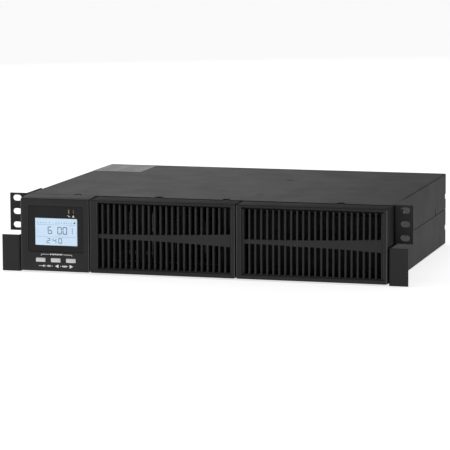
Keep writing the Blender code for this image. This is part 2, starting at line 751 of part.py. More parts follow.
# Power section
def build_power():
    x0, x1, y0, y1 = BOARD
    block("main_board", spot(x0, y0, BOARD_FLOOR), spot(x1, y1, BOARD_TOP), CIRCUIT)
    for name, x in SINK_X:
        build_heat_sink(name, x)
    for number, (x, y) in enumerate(CAPACITORS, 1):
        middle = spot(x, y, BOARD_TOP + GAP / MM + CAPACITOR_TALL / 2)
        can = rod(f"bus_capacitor_{number}", middle, CAPACITOR_RADIUS, CAPACITOR_TALL, "Z", SLEEVE, 18)
        bevel(can, 1.2, 1, 50.0)
    for name, x, y in INDUCTORS:
        build_inductor(name, spot(x, y, BOARD_TOP + 9.0))
    core = block("transformer", spot(-75, 215, BOARD_TOP + 0.3), spot(-25, 255, 56), FERRITE)
    bevel(core, 1.0, 1)
    join(core, block("winding", spot(-70, 206, BOARD_TOP + 4), spot(-30, 264, 50)))
    for name, x in RELAYS:
        relay = block(name, spot(x - 8, 225, BOARD_TOP + 0.3), spot(x + 8, 255, BOARD_TOP + 26), CASE)
        bevel(relay, 0.6, 1)


def build_inductor(name, centre):
    bpy.ops.mesh.primitive_torus_add(major_radius=INDUCTOR_MAJOR * MM, minor_radius=INDUCTOR_MINOR * MM,
                                     major_segments=18, minor_segments=8, location=centre)
    ring = bpy.context.active_object
    ring.name = name
    ring.data.materials.append(COPPER)
    round_shading(ring, 60.0)
    for group in list(ring.users_collection):
        group.objects.unlink(ring)
    PARTS.objects.link(ring)


def build_heat_sink(name, x):
    """Extruded comb: a base on the board and nine upright fins."""
    base_top = BOARD_TOP + 6.0
    fin_top = 62.0
    half = 20.0
    fins = 9
    fin_w = 1.6
    pitch = (2 * half - fin_w) / (fins - 1)
    points = [(x + half, BOARD_TOP + 0.3), (x - half, BOARD_TOP + 0.3)]
    for fin in range(fins):
        start = x - half + pitch * fin
        stop = start + fin_w
        points += [(start, base_top), (start, fin_top), (stop, fin_top), (stop, base_top)]
    corners = ((x - half, base_top), (x + half, base_top))
    points = [point for point in points if point not in corners]
    outline(name, [points], 130.0, spot(0, 125, 0), "Y", ALUMINIUM)


# Fan
def build_fan():
    half = FAN_SIZE / 2
    corner = half - FAN_SCREW_INSET
    y1 = REAR_FACE - SHEET / MM - 0.3
    y0 = y1 - FAN_DEEP
    loops = [rounded(FAN_X - half, FAN_X + half, FAN_Z - half, FAN_Z + half, 4.0, 3)]
    loops.append(circle(FAN_X, FAN_Z, FAN_BORE, 32))
    for x in (-corner, corner):
        for z in (-corner, corner):
            loops.append(circle(FAN_X + x, FAN_Z + z, 2.2, 8))
    frame = outline("fan_frame", loops, FAN_DEEP, spot(0, (y0 + y1) / 2, 0), "Y", PLASTIC)
    hub = rod("fan_mount", spot(FAN_X, y0 + 1.5, FAN_Z), 17.0, 3.0, "Y", None, 24)
    join(frame, hub)
    for number in range(4):
        arm = block(f"fan_arm_{number}", Vector((-1.6, -1.2, 15.0)) * MM, Vector((1.6, 1.2, 40.5)) * MM)
        turn = Matrix.Rotation(math.radians(45 + 90 * number), 4, "Y")
        centre = turn @ Vector((0, 0, 27.75 * MM))
        arm.rotation_euler = turn.to_euler()
        arm.location = spot(FAN_X, y0 + 1.5, FAN_Z) + centre
        join(frame, arm)
    build_rotor(y0 + 3.6, y1 - 1.2)
    build_guard()


def build_rotor(y0, y1):
    centre = spot(FAN_X, (y0 + y1) / 2, FAN_Z)
    rotor = rod("fan_rotor", centre, FAN_HUB, y1 - y0, "Y", PLASTIC, 28)
    half = Vector((11.0, 0.8, 9.25)) * MM
    for number in range(FAN_BLADES):
        turn = Matrix.Rotation(math.tau * number / FAN_BLADES, 4, "Y")
        pitch = Matrix.Rotation(math.radians(38), 4, "Z")
        blade = block(f"fan_blade_{number}", -half, half)
        outward = Matrix.Translation((0, 0, 27.0 * MM))
        blade.matrix_world = Matrix.Translation(centre) @ turn @ outward @ pitch
        join(rotor, blade)


def build_guard():
    """Wire finger guard: concentric rings on two crossed wires that end in screw eyes."""
    y = REAR_FACE + 1.6
    bars = []
    for angle, material in ((45, STEEL), (135, None)):
        bar = rod(f"guard_wire_{angle}", spot(FAN_X, y, FAN_Z), 0.9, 100.0, "Z", material, 6)
        bar.rotation_euler = (0, math.radians(angle), 0)
        bars.append(bar)
    guard = bars[0]
    guard.name = "fan_guard"
    join(guard, bars[1])
    for number, radius in enumerate(GUARD_RADII):
        bpy.ops.mesh.primitive_torus_add(
            major_radius=radius * MM, minor_radius=GUARD_WIRE * MM, major_segments=24, minor_segments=4,
            location=spot(FAN_X, y, FAN_Z), rotation=(math.pi / 2, 0, 0))
        ring = bpy.context.active_object
        ring.name = f"guard_ring_{number}"
        for group in list(ring.users_collection):
            group.objects.unlink(ring)
        TOOLS.objects.link(ring)
        ring.hide_render = True
        ring.display_type = "WIRE"
        join(guard, ring)


# Rear connectors
def socket_outline(x, z, half_w, half_h, chamfer):
    """The six-sided outline of a mains appliance coupler."""
    shoulder = z + half_h - chamfer
    top = z + half_h
    return [(x - half_w, z - half_h), (x + half_w, z - half_h), (x + half_w, shoulder),
            (x + half_w - chamfer, top), (x - half_w + chamfer, top), (x - half_w, shoulder)]


def build_outlets():
    """Blocks of four outlets, each outlet a groove round a core with three contact slits."""
    half_w = 27.0
    half_h = 22.0
    rim_w = half_w + 2.5
    rim_h = half_h + 2.5
    pitch_x, pitch_z = (size - 2 for size in OUTLET_PITCH)
    for name, x in OUTLET_BLOCKS.items():
        body = block(name, spot(x - half_w, REAR_FACE - 24, OUTLET_Z - half_h),
                     spot(x + half_w, REAR_FACE + 2.0, OUTLET_Z + half_h), PLASTIC)
        loop = rounded(x - rim_w, x + rim_w, OUTLET_Z - rim_h, OUTLET_Z + rim_h, 2.0, 2)
        join(body, outline(f"{name}_rim", [loop], 1.6, spot(0, REAR_FACE + 1.2, 0), "Y"))
        centres = []
        for across in (-0.5, 0.5):
            for up in (-0.5, 0.5):
                centres.append((x + across * pitch_x, OUTLET_Z + up * pitch_z))
        slits = []
        for number, (cx, cz) in enumerate(centres):
            loops = [socket_outline(cx, cz, 12.0, 8.2, 4.5), socket_outline(cx, cz, 10.2, 6.4, 3.8)]
            cut(body, outline(f"{name}_groove_{number}", loops, 17.0, spot(0, REAR_FACE - 5.5, 0), "Y"))
            for dx, dz in COUPLER_CONTACTS:
                slits.append((spot(cx + dx - 1.2, REAR_FACE - 12, cz + dz - 2.2),
                              spot(cx + dx + 1.2, REAR_FACE + 5, cz + dz + 2.2)))
        cut(body, comb(f"{name}_slits", slits))


def build_inlet():
    x, z = INLET
    half_w = 14.0
    half_h = 10.5
    ear_x = 20.0
    body = block("mains_inlet", spot(x - half_w, REAR_FACE - 22, z - half_h),
                 spot(x + half_w, REAR_FACE + 1.0, z + half_h), PLASTIC)
    loops = [rounded(x - 25, x + 25, z - 12.5, z + 12.5, 4.0, 3)]
    loops += [circle(x - ear_x, z, 1.9, 10), circle(x + ear_x, z, 1.9, 10)]
    flange = outline("inlet_flange", loops, 2.0, spot(0, REAR_FACE + 1.4, 0), "Y")
    mouth = socket_outline(x, z, 12.3, 8.5, 4.5)
    cavity = outline("inlet_cavity", [mouth], 20.0, spot(0, REAR_FACE - 5.0, 0), "Y")
    join(body, flange)
    cut(body, cavity)
    for number, (dx, dz) in enumerate(INLET_PINS):
        join(body, block(f"inlet_pin_{number}", spot(x + dx - 1, REAR_FACE - 16, z + dz - 2),
                         spot(x + dx + 1, REAR_FACE - 3.6, z + dz + 2)))


def build_breaker():
    x, z = BREAKER
    body = rod("breaker_body", spot(x, REAR_FACE + 0.9, z), 8.5, 1.2, "Y", PLASTIC, 24)
    join(body, rod("breaker_neck", spot(x, REAR_FACE - 8.0, z), 5.8, 18.0, "Y", None, 20))
    cut(body, rod("breaker_bore", spot(x, REAR_FACE - 2.0, z), 4.0, 14.0, "Y", None, 20))
    button = rod("breaker_button", spot(x, REAR_FACE - 1.6, z), 3.6, 10.0, "Y", CONNECTOR, 20)
    bevel(button, 0.5, 2, 50.0)


def build_ports():
    block("comm_board", spot(-116, REAR_FACE - 45, 12.0), spot(-2, REAR_FACE - 3, 13.4), CIRCUIT)
    build_usb(USB_X)
    build_serial(SERIAL_X)
    build_surge(SURGE_X)
    build_epo(EPO_X)


def build_usb(x):
    shell = block("usb_socket", spot(x - 6.0, REAR_FACE - 16, 16.4),
                  spot(x + 6.0, REAR_FACE + 0.6, 27.4), STEEL)
    cut(shell, block("usb_mouth", spot(x - 4.4, REAR_FACE - 9, 17.8), spot(x + 4.4, REAR_FACE + 4, 26.0)))
    join(shell, block("usb_tongue", spot(x - 2.8, REAR_FACE - 11, 20.4), spot(x + 2.8, REAR_FACE - 1, 23.4)))


def build_serial(x):
    flange = [rounded(x - 15.5, x + 15.5, 16.0, 28.4, 1.5, 2)]
    socket = outline("serial_socket", flange, 1.0, spot(0, REAR_FACE + 0.1, 0), "Y", STEEL)
    shroud = [(x - 8.6, 26.2), (x + 8.6, 26.2), (x + 7.2, 18.0), (x - 7.2, 18.0)]
    join(socket, outline("serial_shroud", [shroud], 16.0, spot(0, REAR_FACE - 4.6, 0), "Y"))


def build_surge(x):
    """Two line sockets in one moulding, each with a notch for the latch above its mouth."""
    body = block("surge_sockets", spot(x - 14.6, REAR_FACE - 16, 14.6),
                 spot(x + 14.6, REAR_FACE + 0.6, 29.4), PLASTIC)
    for number, cx in enumerate((x - SURGE_OFFSET, x + SURGE_OFFSET)):
        cut(body, block(f"surge_mouth_{number}", spot(cx - 5.9, REAR_FACE - 11, 17.6),
                        spot(cx + 5.9, REAR_FACE + 4, 25.6)))
        cut(body, block(f"surge_latch_{number}", spot(cx - 3.0, REAR_FACE - 8, 25.0),
                        spot(cx + 3.0, REAR_FACE + 4, 27.6)))


def build_epo(x):
    body = block("epo_connector", spot(x - 6.6, REAR_FACE - 12, 17.0),
                 spot(x + 6.6, REAR_FACE + 2.0, 27.0), TERMINAL)
    mouths = []
    for x0, x1 in ((x - 5.2, x - 0.5), (x + 0.5, x + 5.2)):
        mouths.append((spot(x0, REAR_FACE - 6, 18.6), spot(x1, REAR_FACE + 5, 24.0)))
    cut(body, comb("epo_mouth", mouths))


def build_card_cover():
    x0, x1, z0, z1 = CARD
    middle = (z0 + z1) / 2
    screws = {"left": x0 + CARD_SCREW_INSET, "right": x1 - CARD_SCREW_INSET}
    loops = [square(x0, x1, z0, z1)]
    for x in screws.values():
        loops.append(circle(x, middle, 1.9, 10))
    plate = outline("card_slot_cover", loops, 1.2, spot(0, REAR_FACE + 0.9, 0), "Y", PAINT)
    bevel(plate, 0.3, 1)
    for side, x in screws.items():
        screw_part(f"card_screw_{side}", spot(x, REAR_FACE + 1.5, middle), (0, 1, 0), 3.2, 1.8, STEEL)


build_chassis()
build_display()
build_bezel("middle", MIDDLE_X, MIDDLE_OPENING, MIDDLE_FIRST_SLOT, 0.0)
build_bezel("right", RIGHT_X, RIGHT_OPENING, RIGHT_FIRST_SLOT, SIDE_TAPER)
build_bracket("left", -1)
build_bracket("right", 1)
build_battery()
build_power()
build_fan()
build_outlets()
build_inlet()
build_breaker()
build_ports()
build_card_cover()
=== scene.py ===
"""Looks of a rack-mounted uninterruptible power supply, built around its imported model.

Lengths in the tables and functions below are millimetres, measured like the model's own:
x from the middle, y from the rack plane (the front face of the ears), z from the base.
spot() turns them into metres in the model's frame.
"""
from math import cos, pi, radians, sin, tau

import bmesh
import bpy
from mathutils import Matrix, Vector


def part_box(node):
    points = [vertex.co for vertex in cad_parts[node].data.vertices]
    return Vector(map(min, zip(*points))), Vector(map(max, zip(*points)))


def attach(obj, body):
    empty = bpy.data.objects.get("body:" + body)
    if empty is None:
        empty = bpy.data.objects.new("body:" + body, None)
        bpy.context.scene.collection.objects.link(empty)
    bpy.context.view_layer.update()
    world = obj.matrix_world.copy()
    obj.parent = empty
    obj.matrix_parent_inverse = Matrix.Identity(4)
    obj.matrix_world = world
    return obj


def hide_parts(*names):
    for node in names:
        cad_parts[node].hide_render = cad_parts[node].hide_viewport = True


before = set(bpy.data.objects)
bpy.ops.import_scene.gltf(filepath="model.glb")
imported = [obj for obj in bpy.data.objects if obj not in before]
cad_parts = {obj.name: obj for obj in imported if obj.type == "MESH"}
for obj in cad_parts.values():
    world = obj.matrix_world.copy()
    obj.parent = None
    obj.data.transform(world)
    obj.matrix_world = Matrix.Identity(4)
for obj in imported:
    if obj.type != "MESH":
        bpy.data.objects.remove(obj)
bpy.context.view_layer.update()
MM = 0.001
RACK_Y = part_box("front_frame")[0].y


def spot(x, y, z):
    return Vector((x * MM, y * MM + RACK_Y, z * MM))


def extent(node):
    """Lowest and highest corner of a CAD node, in millimetres from the rack plane."""
    shift = Vector((0.0, RACK_Y, 0.0))
    return [(corner - shift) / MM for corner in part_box(node)]


def placed(node):
    """The corners of a CAD node, and the x and z of its middle."""
    low, high = extent(node)
    return low, high, (low.x + high.x) / 2, (low.z + high.z) / 2


def shown(name, data):
    item = bpy.data.objects.new(name, data)
    bpy.context.scene.collection.objects.link(item)
    return item


# Camera, lights and floor, in metres
TARGET = Vector((0.0, 0.010, 0.044))
AZIMUTH = radians(15.83)
DROP = radians(-7.97)
ROLL = radians(0.24)
DISTANCE = 3.073
SHIFT_RIGHT = -0.0205
SHIFT_UP = -0.0062
LENS = 203.4
SENSOR = 36.0
FRONT_AIM = (0.0, 0.0, 0.05)
REAR_AIM = (0.0, 0.05, 0.05)
LIGHTS = {  # place, aim, size, power
    "rear_left": ((-1.3, 2.4, 1.1), REAR_AIM, (1.6, 1.2), 11.5),
    "rear": ((-0.1, 2.4, 0.9), REAR_AIM, (1.2, 1.0), 2.1),
    "front_left": ((-1.25, -0.8, 0.24), FRONT_AIM, (0.8, 0.45), 4.0),
    "front_top": ((-0.3, -0.8, 2.0), FRONT_AIM, (1.2, 0.6), 3.5),
    "right_rear": ((2.3, 1.1, 0.5), FRONT_AIM, (0.4, 1.2), 1.6),
    "edge_strip": ((1.6, -0.45, 0.25), FRONT_AIM, (0.1, 0.6), 0.45),
}
WORLD_LIGHT = 0.25
FLOOR_HALF = 12.0
FLOOR_GLOW = 0.72
FLOOR_Z = -0.0004


def add_camera():
    turn = Matrix.Rotation(AZIMUTH, 3, "Z") @ Matrix.Rotation(DROP, 3, "X") @ Matrix.Rotation(ROLL, 3, "Y")
    right, ahead, up = turn.col[0], turn.col[1], turn.col[2]
    place = TARGET - ahead * DISTANCE + right * SHIFT_RIGHT + up * SHIFT_UP
    data = bpy.data.cameras.new("camera")
    data.lens = LENS
    data.sensor_width = SENSOR
    data.clip_start = 0.05
    data.clip_end = 200.0
    camera = shown("camera", data)
    camera.matrix_world = Matrix.Translation(place) @ Matrix((right, up, -ahead)).transposed().to_4x4()
    bpy.context.scene.camera = camera


def add_lights():
    for name, (place, aim, size, power) in LIGHTS.items():
        data = bpy.data.lights.new(name, "AREA")
        data.shape = "RECTANGLE"
        data.size, data.size_y = size
        data.energy = power
        item = shown(name, data)
        item.location = place
        item.rotation_euler = (Vector(aim) - Vector(place)).to_track_quat("-Z", "Y").to_euler()


def add_world():
    """White to the camera, dimmer as a light, so that black plastic stays black."""
    world = bpy.data.worlds.new("studio")
    bpy.context.scene.world = world
    world.use_nodes = True
    nodes, links = world.node_tree.nodes, world.node_tree.links
    nodes.clear()
    out = nodes.new("ShaderNodeOutputWorld")
    mix = nodes.new("ShaderNodeMixShader")
    path = nodes.new("ShaderNodeLightPath")
    for socket, strength in ((1, WORLD_LIGHT), (2, 1.0)):
        sky = nodes.new("ShaderNodeBackground")
        sky.inputs["Color"].default_value = (1.0, 1.0, 1.0, 1.0)
        sky.inputs["Strength"].default_value = strength
        links.new(sky.outputs[0], mix.inputs[socket])
    links.new(path.outputs["Is Camera Ray"], mix.inputs[0])
    links.new(mix.outputs[0], out.inputs[0])


def add_stage():
    bpy.ops.mesh.primitive_plane_add(size=2 * FLOOR_HALF, location=(0.0, 0.0, FLOOR_Z))
    floor = bpy.context.active_object
    floor.name = "floor"
    pale = bpy.data.materials.new("pale_floor")
    pale.use_nodes = True
    values = {"Base Color": (0.92, 0.92, 0.92, 1.0), "Roughness": 0.9, "Specular IOR Level": 0.1,
              "Emission Color": (1.0, 1.0, 1.0, 1.0), "Emission Strength": FLOOR_GLOW}
    for socket, value in values.items():
        pale.node_tree.nodes["Principled BSDF"].inputs[socket].default_value = value
    floor.data.materials.append(pale)


add_camera()
add_world()
add_stage()
add_lights()
bpy.context.scene.view_settings.view_transform = "Standard"


# Materials
class Look:
    """A node material in the making: one Principled shader and shortcuts for its noise."""

    def __init__(self, name):
        self.material = bpy.data.materials.new(name)
        self.material.use_nodes = True
        self.tree = self.material.node_tree
        self.shader = self.tree.nodes["Principled BSDF"]
        self.place = self.tree.nodes.new("ShaderNodeTexCoord").outputs["Object"]

    def node(self, kind, values, **joined):
        """The outputs of a new node, with some inputs set and some joined to other outputs."""
        item = self.tree.nodes.new("ShaderNode" + kind)
        for socket, value in values.items():
            item.inputs[socket].default_value = value
        for socket, source in joined.items():
            self.tree.links.new(source, item.inputs[socket])
        return item.outputs

    def feed(self, socket, source):
        self.tree.links.new(source, self.shader.inputs[socket])

    def set(self, values):
        for socket, value in values.items():
            self.shader.inputs[socket].default_value = value

    def noise(self, scale, detail=3.0, rough=0.55, vector=None):
        values = {"Scale": scale, "Detail": detail, "Roughness": rough}
        return self.node("TexNoise", values, Vector=vector or self.place)["Fac"]

    def cells(self, scale):
        return self.node("TexVoronoi", {"Scale": scale}, Vector=self.place)

    def spread(self, value, low, high, out_low=0.0, out_high=1.0):
        values = {"From Min": low, "From Max": high, "To Min": out_low, "To Max": out_high}
        return self.node("MapRange", values, Value=value)["Result"]

    def mix(self, factor, one, two):
        item = self.tree.nodes.new("ShaderNodeMix")
        item.data_type = "RGBA"
        self.tree.links.new(factor, item.inputs["Factor"])
        for name, color in (("A", one), ("B", two)):
            socket = [s for s in item.inputs if s.name == name and s.type == "RGBA"][0]
            if isinstance(color, bpy.types.NodeSocket):
                self.tree.links.new(color, socket)
            else:
                socket.default_value = (*color, 1.0)
        return [s for s in item.outputs if s.type == "RGBA"][0]

    def clouds(self, noise, one, two, edge=0.35):
        """A color that drifts between two shades."""
        return self.mix(self.spread(noise, edge, 1 - edge), one, two)

    def gloss(self, noise, low, high):
        """Roughness that drifts between two values."""
        self.feed("Roughness", self.spread(noise, 0.3, 0.7, low, high))

    def bump(self, height, depth, strength=1.0, **before):
        """Relief of a depth in millimetres, over the normal named in before."""
        values = {"Strength": strength, "Distance": depth * MM}
        normal = self.node("Bump", values, Height=height, **before)["Normal"]
        self.feed("Normal", normal)
        return normal


def shaded(name, dark, light, rough, grain, depth, blotch=18.0, specular=0.5, metallic=0.0):
    """The common base: a cloudy shade, uneven gloss and a fine grain of a real size."""
    look = Look(name)
    look.feed("Base Color", look.clouds(look.noise(blotch, 4.0), dark, light))
    look.gloss(look.noise(blotch * 2.3, 6.0, 0.65), *rough)
    look.bump(look.noise(1.0 / (grain * MM), 2.0), depth)
    look.set({"Specular IOR Level": specular, "Metallic": metallic})
    return look


def powder_paint(name, dark, light):
    """Powder coat: orange peel over a fine sparkle of rough grains."""
    look = shaded(name, dark, light, (0.52, 0.6), 0.35, 0.02, 9.0, 0.06)
    peel = look.bump(look.noise(700.0, 1.0), 0.03, 0.5)
    look.bump(look.noise(4200.0, 2.0), 0.012, 0.6, Normal=peel)
    return look


def moulded(name, dark, light, rough, specular=0.5):
    """Spark-eroded mould texture with faint handling marks."""
    look = shaded(name, dark, light, rough, 0.3, 0.01, 14.0, specular)
    pits = look.bump(look.cells(2600.0)["Distance"], 0.012, 0.5)
    look.bump(look.noise(1500.0, 3.0), 0.012, 0.5, Normal=pits)
    return look


def plated(name, color, rough, along=(60.0, 60.0, 900.0)):
    """Rolled and plated sheet: long faint scratches and a cloudy spangle."""
    look = Look(name)
    spangle = look.spread(look.cells(160.0)["Color"], 0.2, 0.8)
    look.feed("Base Color", look.mix(spangle, [c * 0.82 for c in color], color))
    stretched = look.node("Mapping", {"Scale": along}, Vector=look.place)["Vector"]
    scratch = look.noise(1.0, 5.0, 0.6, stretched)
    look.gloss(scratch, *rough)
    look.bump(scratch, 0.02, 0.4)
    look.set({"Metallic": 1.0})
    return look


def glowing(name, deep, bright, glow, cloud, smear, rough, relief, depth, edge=0.35):
    """Lit from behind. cloud, smear and relief are the scale and detail of its noises."""
    look = Look(name)
    tint = look.clouds(look.noise(*cloud), deep, bright, edge)
    look.feed("Base Color", tint)
    look.feed("Emission Color", tint)
    look.set({"Emission Strength": glow})
    look.gloss(look.noise(*smear), *rough)
    look.bump(look.noise(*relief), depth)
    return look


def light_pipe(name, deep, bright):
    return glowing(name, deep, bright, 0.1, (700.0, 3.0), (900.0, 2.0), (0.18, 0.35), (2500.0, 1.0), 0.004)


def solder_mask(name):
    """Green circuit board: copper tracks under the mask and tinned pads."""
    look = Look(name)
    values = {"Scale": 180.0, "Mortar Size": 0.03, "Brick Width": 1.7, "Row Height": 0.4,
              "Color1": (0.012, 0.10, 0.035, 1.0), "Color2": (0.016, 0.13, 0.045, 1.0),
              "Mortar": (0.03, 0.22, 0.075, 1.0)}
    tracks = look.node("TexBrick", values, Vector=look.place)
    tin = look.spread(look.cells(230.0)["Distance"], 0.17, 0.2, 1.0, 0.0)
    look.feed("Base Color", look.mix(tin, tracks["Color"], (0.55, 0.55, 0.52)))
    look.gloss(look.noise(120.0, 4.0), 0.3, 0.5)
    look.bump(tracks["Fac"], 0.05, 0.5)
    return look


def enamelled_wire(name):
    look = shaded(name, (0.42, 0.12, 0.035), (0.62, 0.23, 0.07), (0.2, 0.38), 0.8, 0.01, 90.0, 0.5, 0.85)
    look.set({"Coat Weight": 0.35, "Coat Roughness": 0.15})
    return look


def grey(value, blue=0.0):
    return (value, value, value + blue)


# Each look: what makes it, then its dark and light shades and its gloss
RECIPES = {
    "black_paint": (powder_paint, grey(0.0345, 0.0005), grey(0.0365, 0.0005)),
    "bezel_plastic": (moulded, grey(0.036, 0.0003), grey(0.040, 0.0003), (0.64, 0.72), 0.02),
    "grille_plastic": (moulded, grey(0.037, 0.0003), grey(0.041, 0.0003), (0.55, 0.62), 0.06),
    "burnished_edge": (moulded, grey(0.032, 0.0003), grey(0.036, 0.0003), (0.33, 0.4), 1.0),
    "module_plastic": (moulded, grey(0.034, 0.0003), grey(0.037, 0.0003), (0.52, 0.6), 0.06),
    "rear_plastic": (moulded, grey(0.016, 0.001), grey(0.022, 0.001), (0.36, 0.5)),
    "window_lens": (shaded, grey(0.0095, 0.001), grey(0.0114, 0.0012), (0.2, 0.3), 2.0, 0.004, 30.0, 0.2),
    "lcd_face": (glowing, (0.54, 0.70, 0.87), (0.60, 0.76, 0.92), 0.24, (55.0, 2.0), (90.0, 4.0),
                 (0.16, 0.3), (3000.0, 1.0), 0.003, 0.3),
    "lcd_ink": (shaded, (0.075, 0.10, 0.12), (0.10, 0.13, 0.15), (0.3, 0.45), 0.4, 0.002, 80.0, 0.3),
    "white_ink": (shaded, grey(0.82), grey(0.88), (0.5, 0.65), 0.2, 0.004, 120.0, 0.3),
    "grey_keys": (moulded, grey(0.67), grey(0.73), (0.45, 0.6), 0.35),
    "green_light": (light_pipe, (0.22, 0.24, 0.07), (0.31, 0.32, 0.13)),
    "red_light": (light_pipe, (0.16, 0.05, 0.055), (0.22, 0.085, 0.09)),
    "zinc_steel": (plated, (0.60, 0.60, 0.58), (0.28, 0.46)),
    "black_screws": (shaded, grey(0.03, 0.001), grey(0.05), (0.3, 0.45), 0.3, 0.01, 200.0, 0.5, 0.7),
    "circuit_board": (solder_mask,),
    "aluminium_fins": (plated, grey(0.40, 0.01), (0.42, 0.55), (900.0, 12.0, 900.0)),
    "capacitor_sleeve": (shaded, (0.010, 0.018, 0.05), (0.014, 0.024, 0.065), (0.22, 0.36), 1.2, 0.02, 40.0),
    "copper_winding": (enamelled_wire,),
    "ferrite_core": (shaded, grey(0.035, 0.002), grey(0.06), (0.6, 0.8), 0.25, 0.03, 60.0, 0.3),
    "battery_case": (moulded, (0.028, 0.029, 0.032), (0.036, 0.037, 0.04), (0.4, 0.55)),
    "grey_connector": (moulded, grey(0.22, 0.015), grey(0.27, 0.015), (0.4, 0.55)),
    "green_terminal": (moulded, (0.02, 0.20, 0.06), (0.03, 0.26, 0.085), (0.35, 0.5)),
    "red_lead": (moulded, (0.36, 0.02, 0.018), (0.44, 0.03, 0.026), (0.4, 0.55)),
    "label": (shaded, grey(0.30), grey(0.36), (0.5, 0.62), 0.5, 0.01, 30.0, 0.35),
    "label_ink": (shaded, grey(0.16), grey(0.20), (0.55, 0.7), 0.5, 0.004, 90.0, 0.2),
    "brass": (plated, (0.72, 0.55, 0.28), (0.22, 0.36)),
    "nickel": (plated, (0.66, 0.64, 0.60), (0.2, 0.34)),
}
# Looks whose material isn't named like them
MATERIAL_NAMES = {"black_paint": "powder_paint", "lcd_face": "backlit_glass", "grey_keys": "key_rubber",
                  "black_screws": "black_oxide", "aluminium_fins": "extruded_aluminium",
                  "copper_winding": "enamelled_wire", "label": "paper_label", "brass": "brass_contact",
                  "nickel": "nickel_plating"}
LOOKS = {name: recipe(MATERIAL_NAMES.get(name, name), *values).material
         for name, (recipe, *values) in RECIPES.items()}


# Mesh helpers
OUT = (0, 1, 0)
WELD = 2e-6


def to_mesh(name, shape):
    mesh = bpy.data.meshes.new(name)
    shape.to_mesh(mesh)
    shape.free()
    return mesh


def piece(name, meshes, look, node=None, body="chassis", sharp=38.0):
    """Show meshes as one piece: their look, their body and the CAD node they stand for."""
    mesh = merged(meshes) if isinstance(meshes, list) else meshes
    mesh.name = name
    item = shown(name, mesh)
    mesh.materials.clear()
    mesh.materials.append(LOOKS[look])
    mesh.shade_smooth()
    mesh.set_sharp_from_angle(angle=radians(sharp))
    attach(item, body)
    if node:
        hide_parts(node)
    return item


def merged(meshes):
    """One mesh out of several."""
    shape = bmesh.new()
    for mesh in meshes:
        shape.from_mesh(mesh)
        bpy.data.meshes.remove(mesh)
    return to_mesh("merged", shape)


def arc(x, z, radius, start, end, steps):
    angles = [radians(start + (end - start) * step / steps) for step in range(steps + 1)]
    return [(x + radius * cos(angle), z + radius * sin(angle)) for angle in angles]


def rounded(x0, x1, z0, z1, radius, steps=4):
    points = arc(x1 - radius, z1 - radius, radius, 0, 90, steps)
    points += arc(x0 + radius, z1 - radius, radius, 90, 180, steps)
    points += arc(x0 + radius, z0 + radius, radius, 180, 270, steps)
    points += arc(x1 - radius, z0 + radius, radius, 270, 360, steps)
    return points


def face(low, high, radius):
    """The rounded outline of a node, seen from the front or rear."""
    return rounded(low.x, high.x, low.z, high.z, radius)


def circle(x, z, radius, sides=32):
    return arc(x, z, radius, 0, 360.0 * (sides - 1) / sides, sides - 1)


def grown(area, margin):
    return (area[0] - margin, area[1] + margin, area[2] - margin, area[3] + margin)


def plate(loops, low, high, edge=0.2, steps=2, lying=False):
    """Flat outline with holes, between two values of y, or of z if lying, with rounded edges."""
    curve = bpy.data.curves.new("outline", "CURVE")
    curve.dimensions = "2D"
    curve.fill_mode = "BOTH"
    curve.extrude = ((high - low) / 2 - edge) * MM
    curve.bevel_depth = edge * MM
    curve.bevel_resolution = steps - 1
    curve.offset = -edge * MM
    for loop in loops:
        spline = curve.splines.new("POLY")
        spline.points.add(len(loop) - 1)
        spline.use_cyclic_u = True
        for point, (across, along) in zip(spline.points, loop):
            point.co = (across * MM, along * MM, 0.0, 1.0)
    shape = curve_shape(curve)
    middle = (low + high) / 2
    place = Matrix.Translation(spot(0, 0, middle) if lying else spot(0, middle, 0))
    if not lying:
        place = place @ Matrix(((1, 0, 0, 0), (0, 0, 1, 0), (0, 1, 0, 0), (0, 0, 0, 1)))
    bmesh.ops.transform(shape, matrix=place, verts=shape.verts)
    bmesh.ops.recalc_face_normals(shape, faces=shape.faces)
    return to_mesh("plate", shape)


def curve_shape(curve):
    """The welded bmesh of a curve, which is then removed."""
    draft = shown("draft", curve)
    mesh = bpy.data.meshes.new_from_object(draft.evaluated_get(bpy.context.evaluated_depsgraph_get()))
    bpy.data.objects.remove(draft, do_unlink=True)
    bpy.data.curves.remove(curve)
    shape = bmesh.new()
    shape.from_mesh(mesh)
    bpy.data.meshes.remove(mesh)
    bmesh.ops.remove_doubles(shape, verts=shape.verts, dist=WELD)
    return shape


def tube(points, radius, sides=2, closed=False):
    """A round wire through points in metres."""
    curve = bpy.data.curves.new("wire", "CURVE")
    curve.dimensions = "3D"
    curve.bevel_depth = radius * MM
    curve.bevel_resolution = sides
    curve.use_fill_caps = not closed
    spline = curve.splines.new("POLY")
    spline.points.add(len(points) - 1)
    spline.use_cyclic_u = closed
    for point, place in zip(spline.points, points):
        point.co = (*place, 1.0)
    shape = curve_shape(curve)
    bmesh.ops.recalc_face_normals(shape, faces=shape.faces)
    return to_mesh("wire", shape)


def hoop(x, y, z, radius, sides, thick):
    """A closed ring of wire that faces the rear."""
    return tube([spot(px, y, pz) for px, pz in circle(x, z, radius, sides)], thick, closed=True)


def loft(rings, caps=True):
    """Mesh through rings of points. Without caps, the last ring joins the first."""
    shape = bmesh.new()
    made = [[shape.verts.new(point) for point in ring] for ring in rings]
    count = len(made[0])
    pairs = list(zip(made, made[1:]))
    if not caps:
        pairs.append((made[-1], made[0]))
    for one, two in pairs:
        for index in range(count):
            after = (index + 1) % count
            shape.faces.new((one[index], one[after], two[after], two[index]))
    if caps:
        shape.faces.new(made[0])
        shape.faces.new(made[-1])
    bmesh.ops.recalc_face_normals(shape, faces=shape.faces)
    return to_mesh("loft", shape)


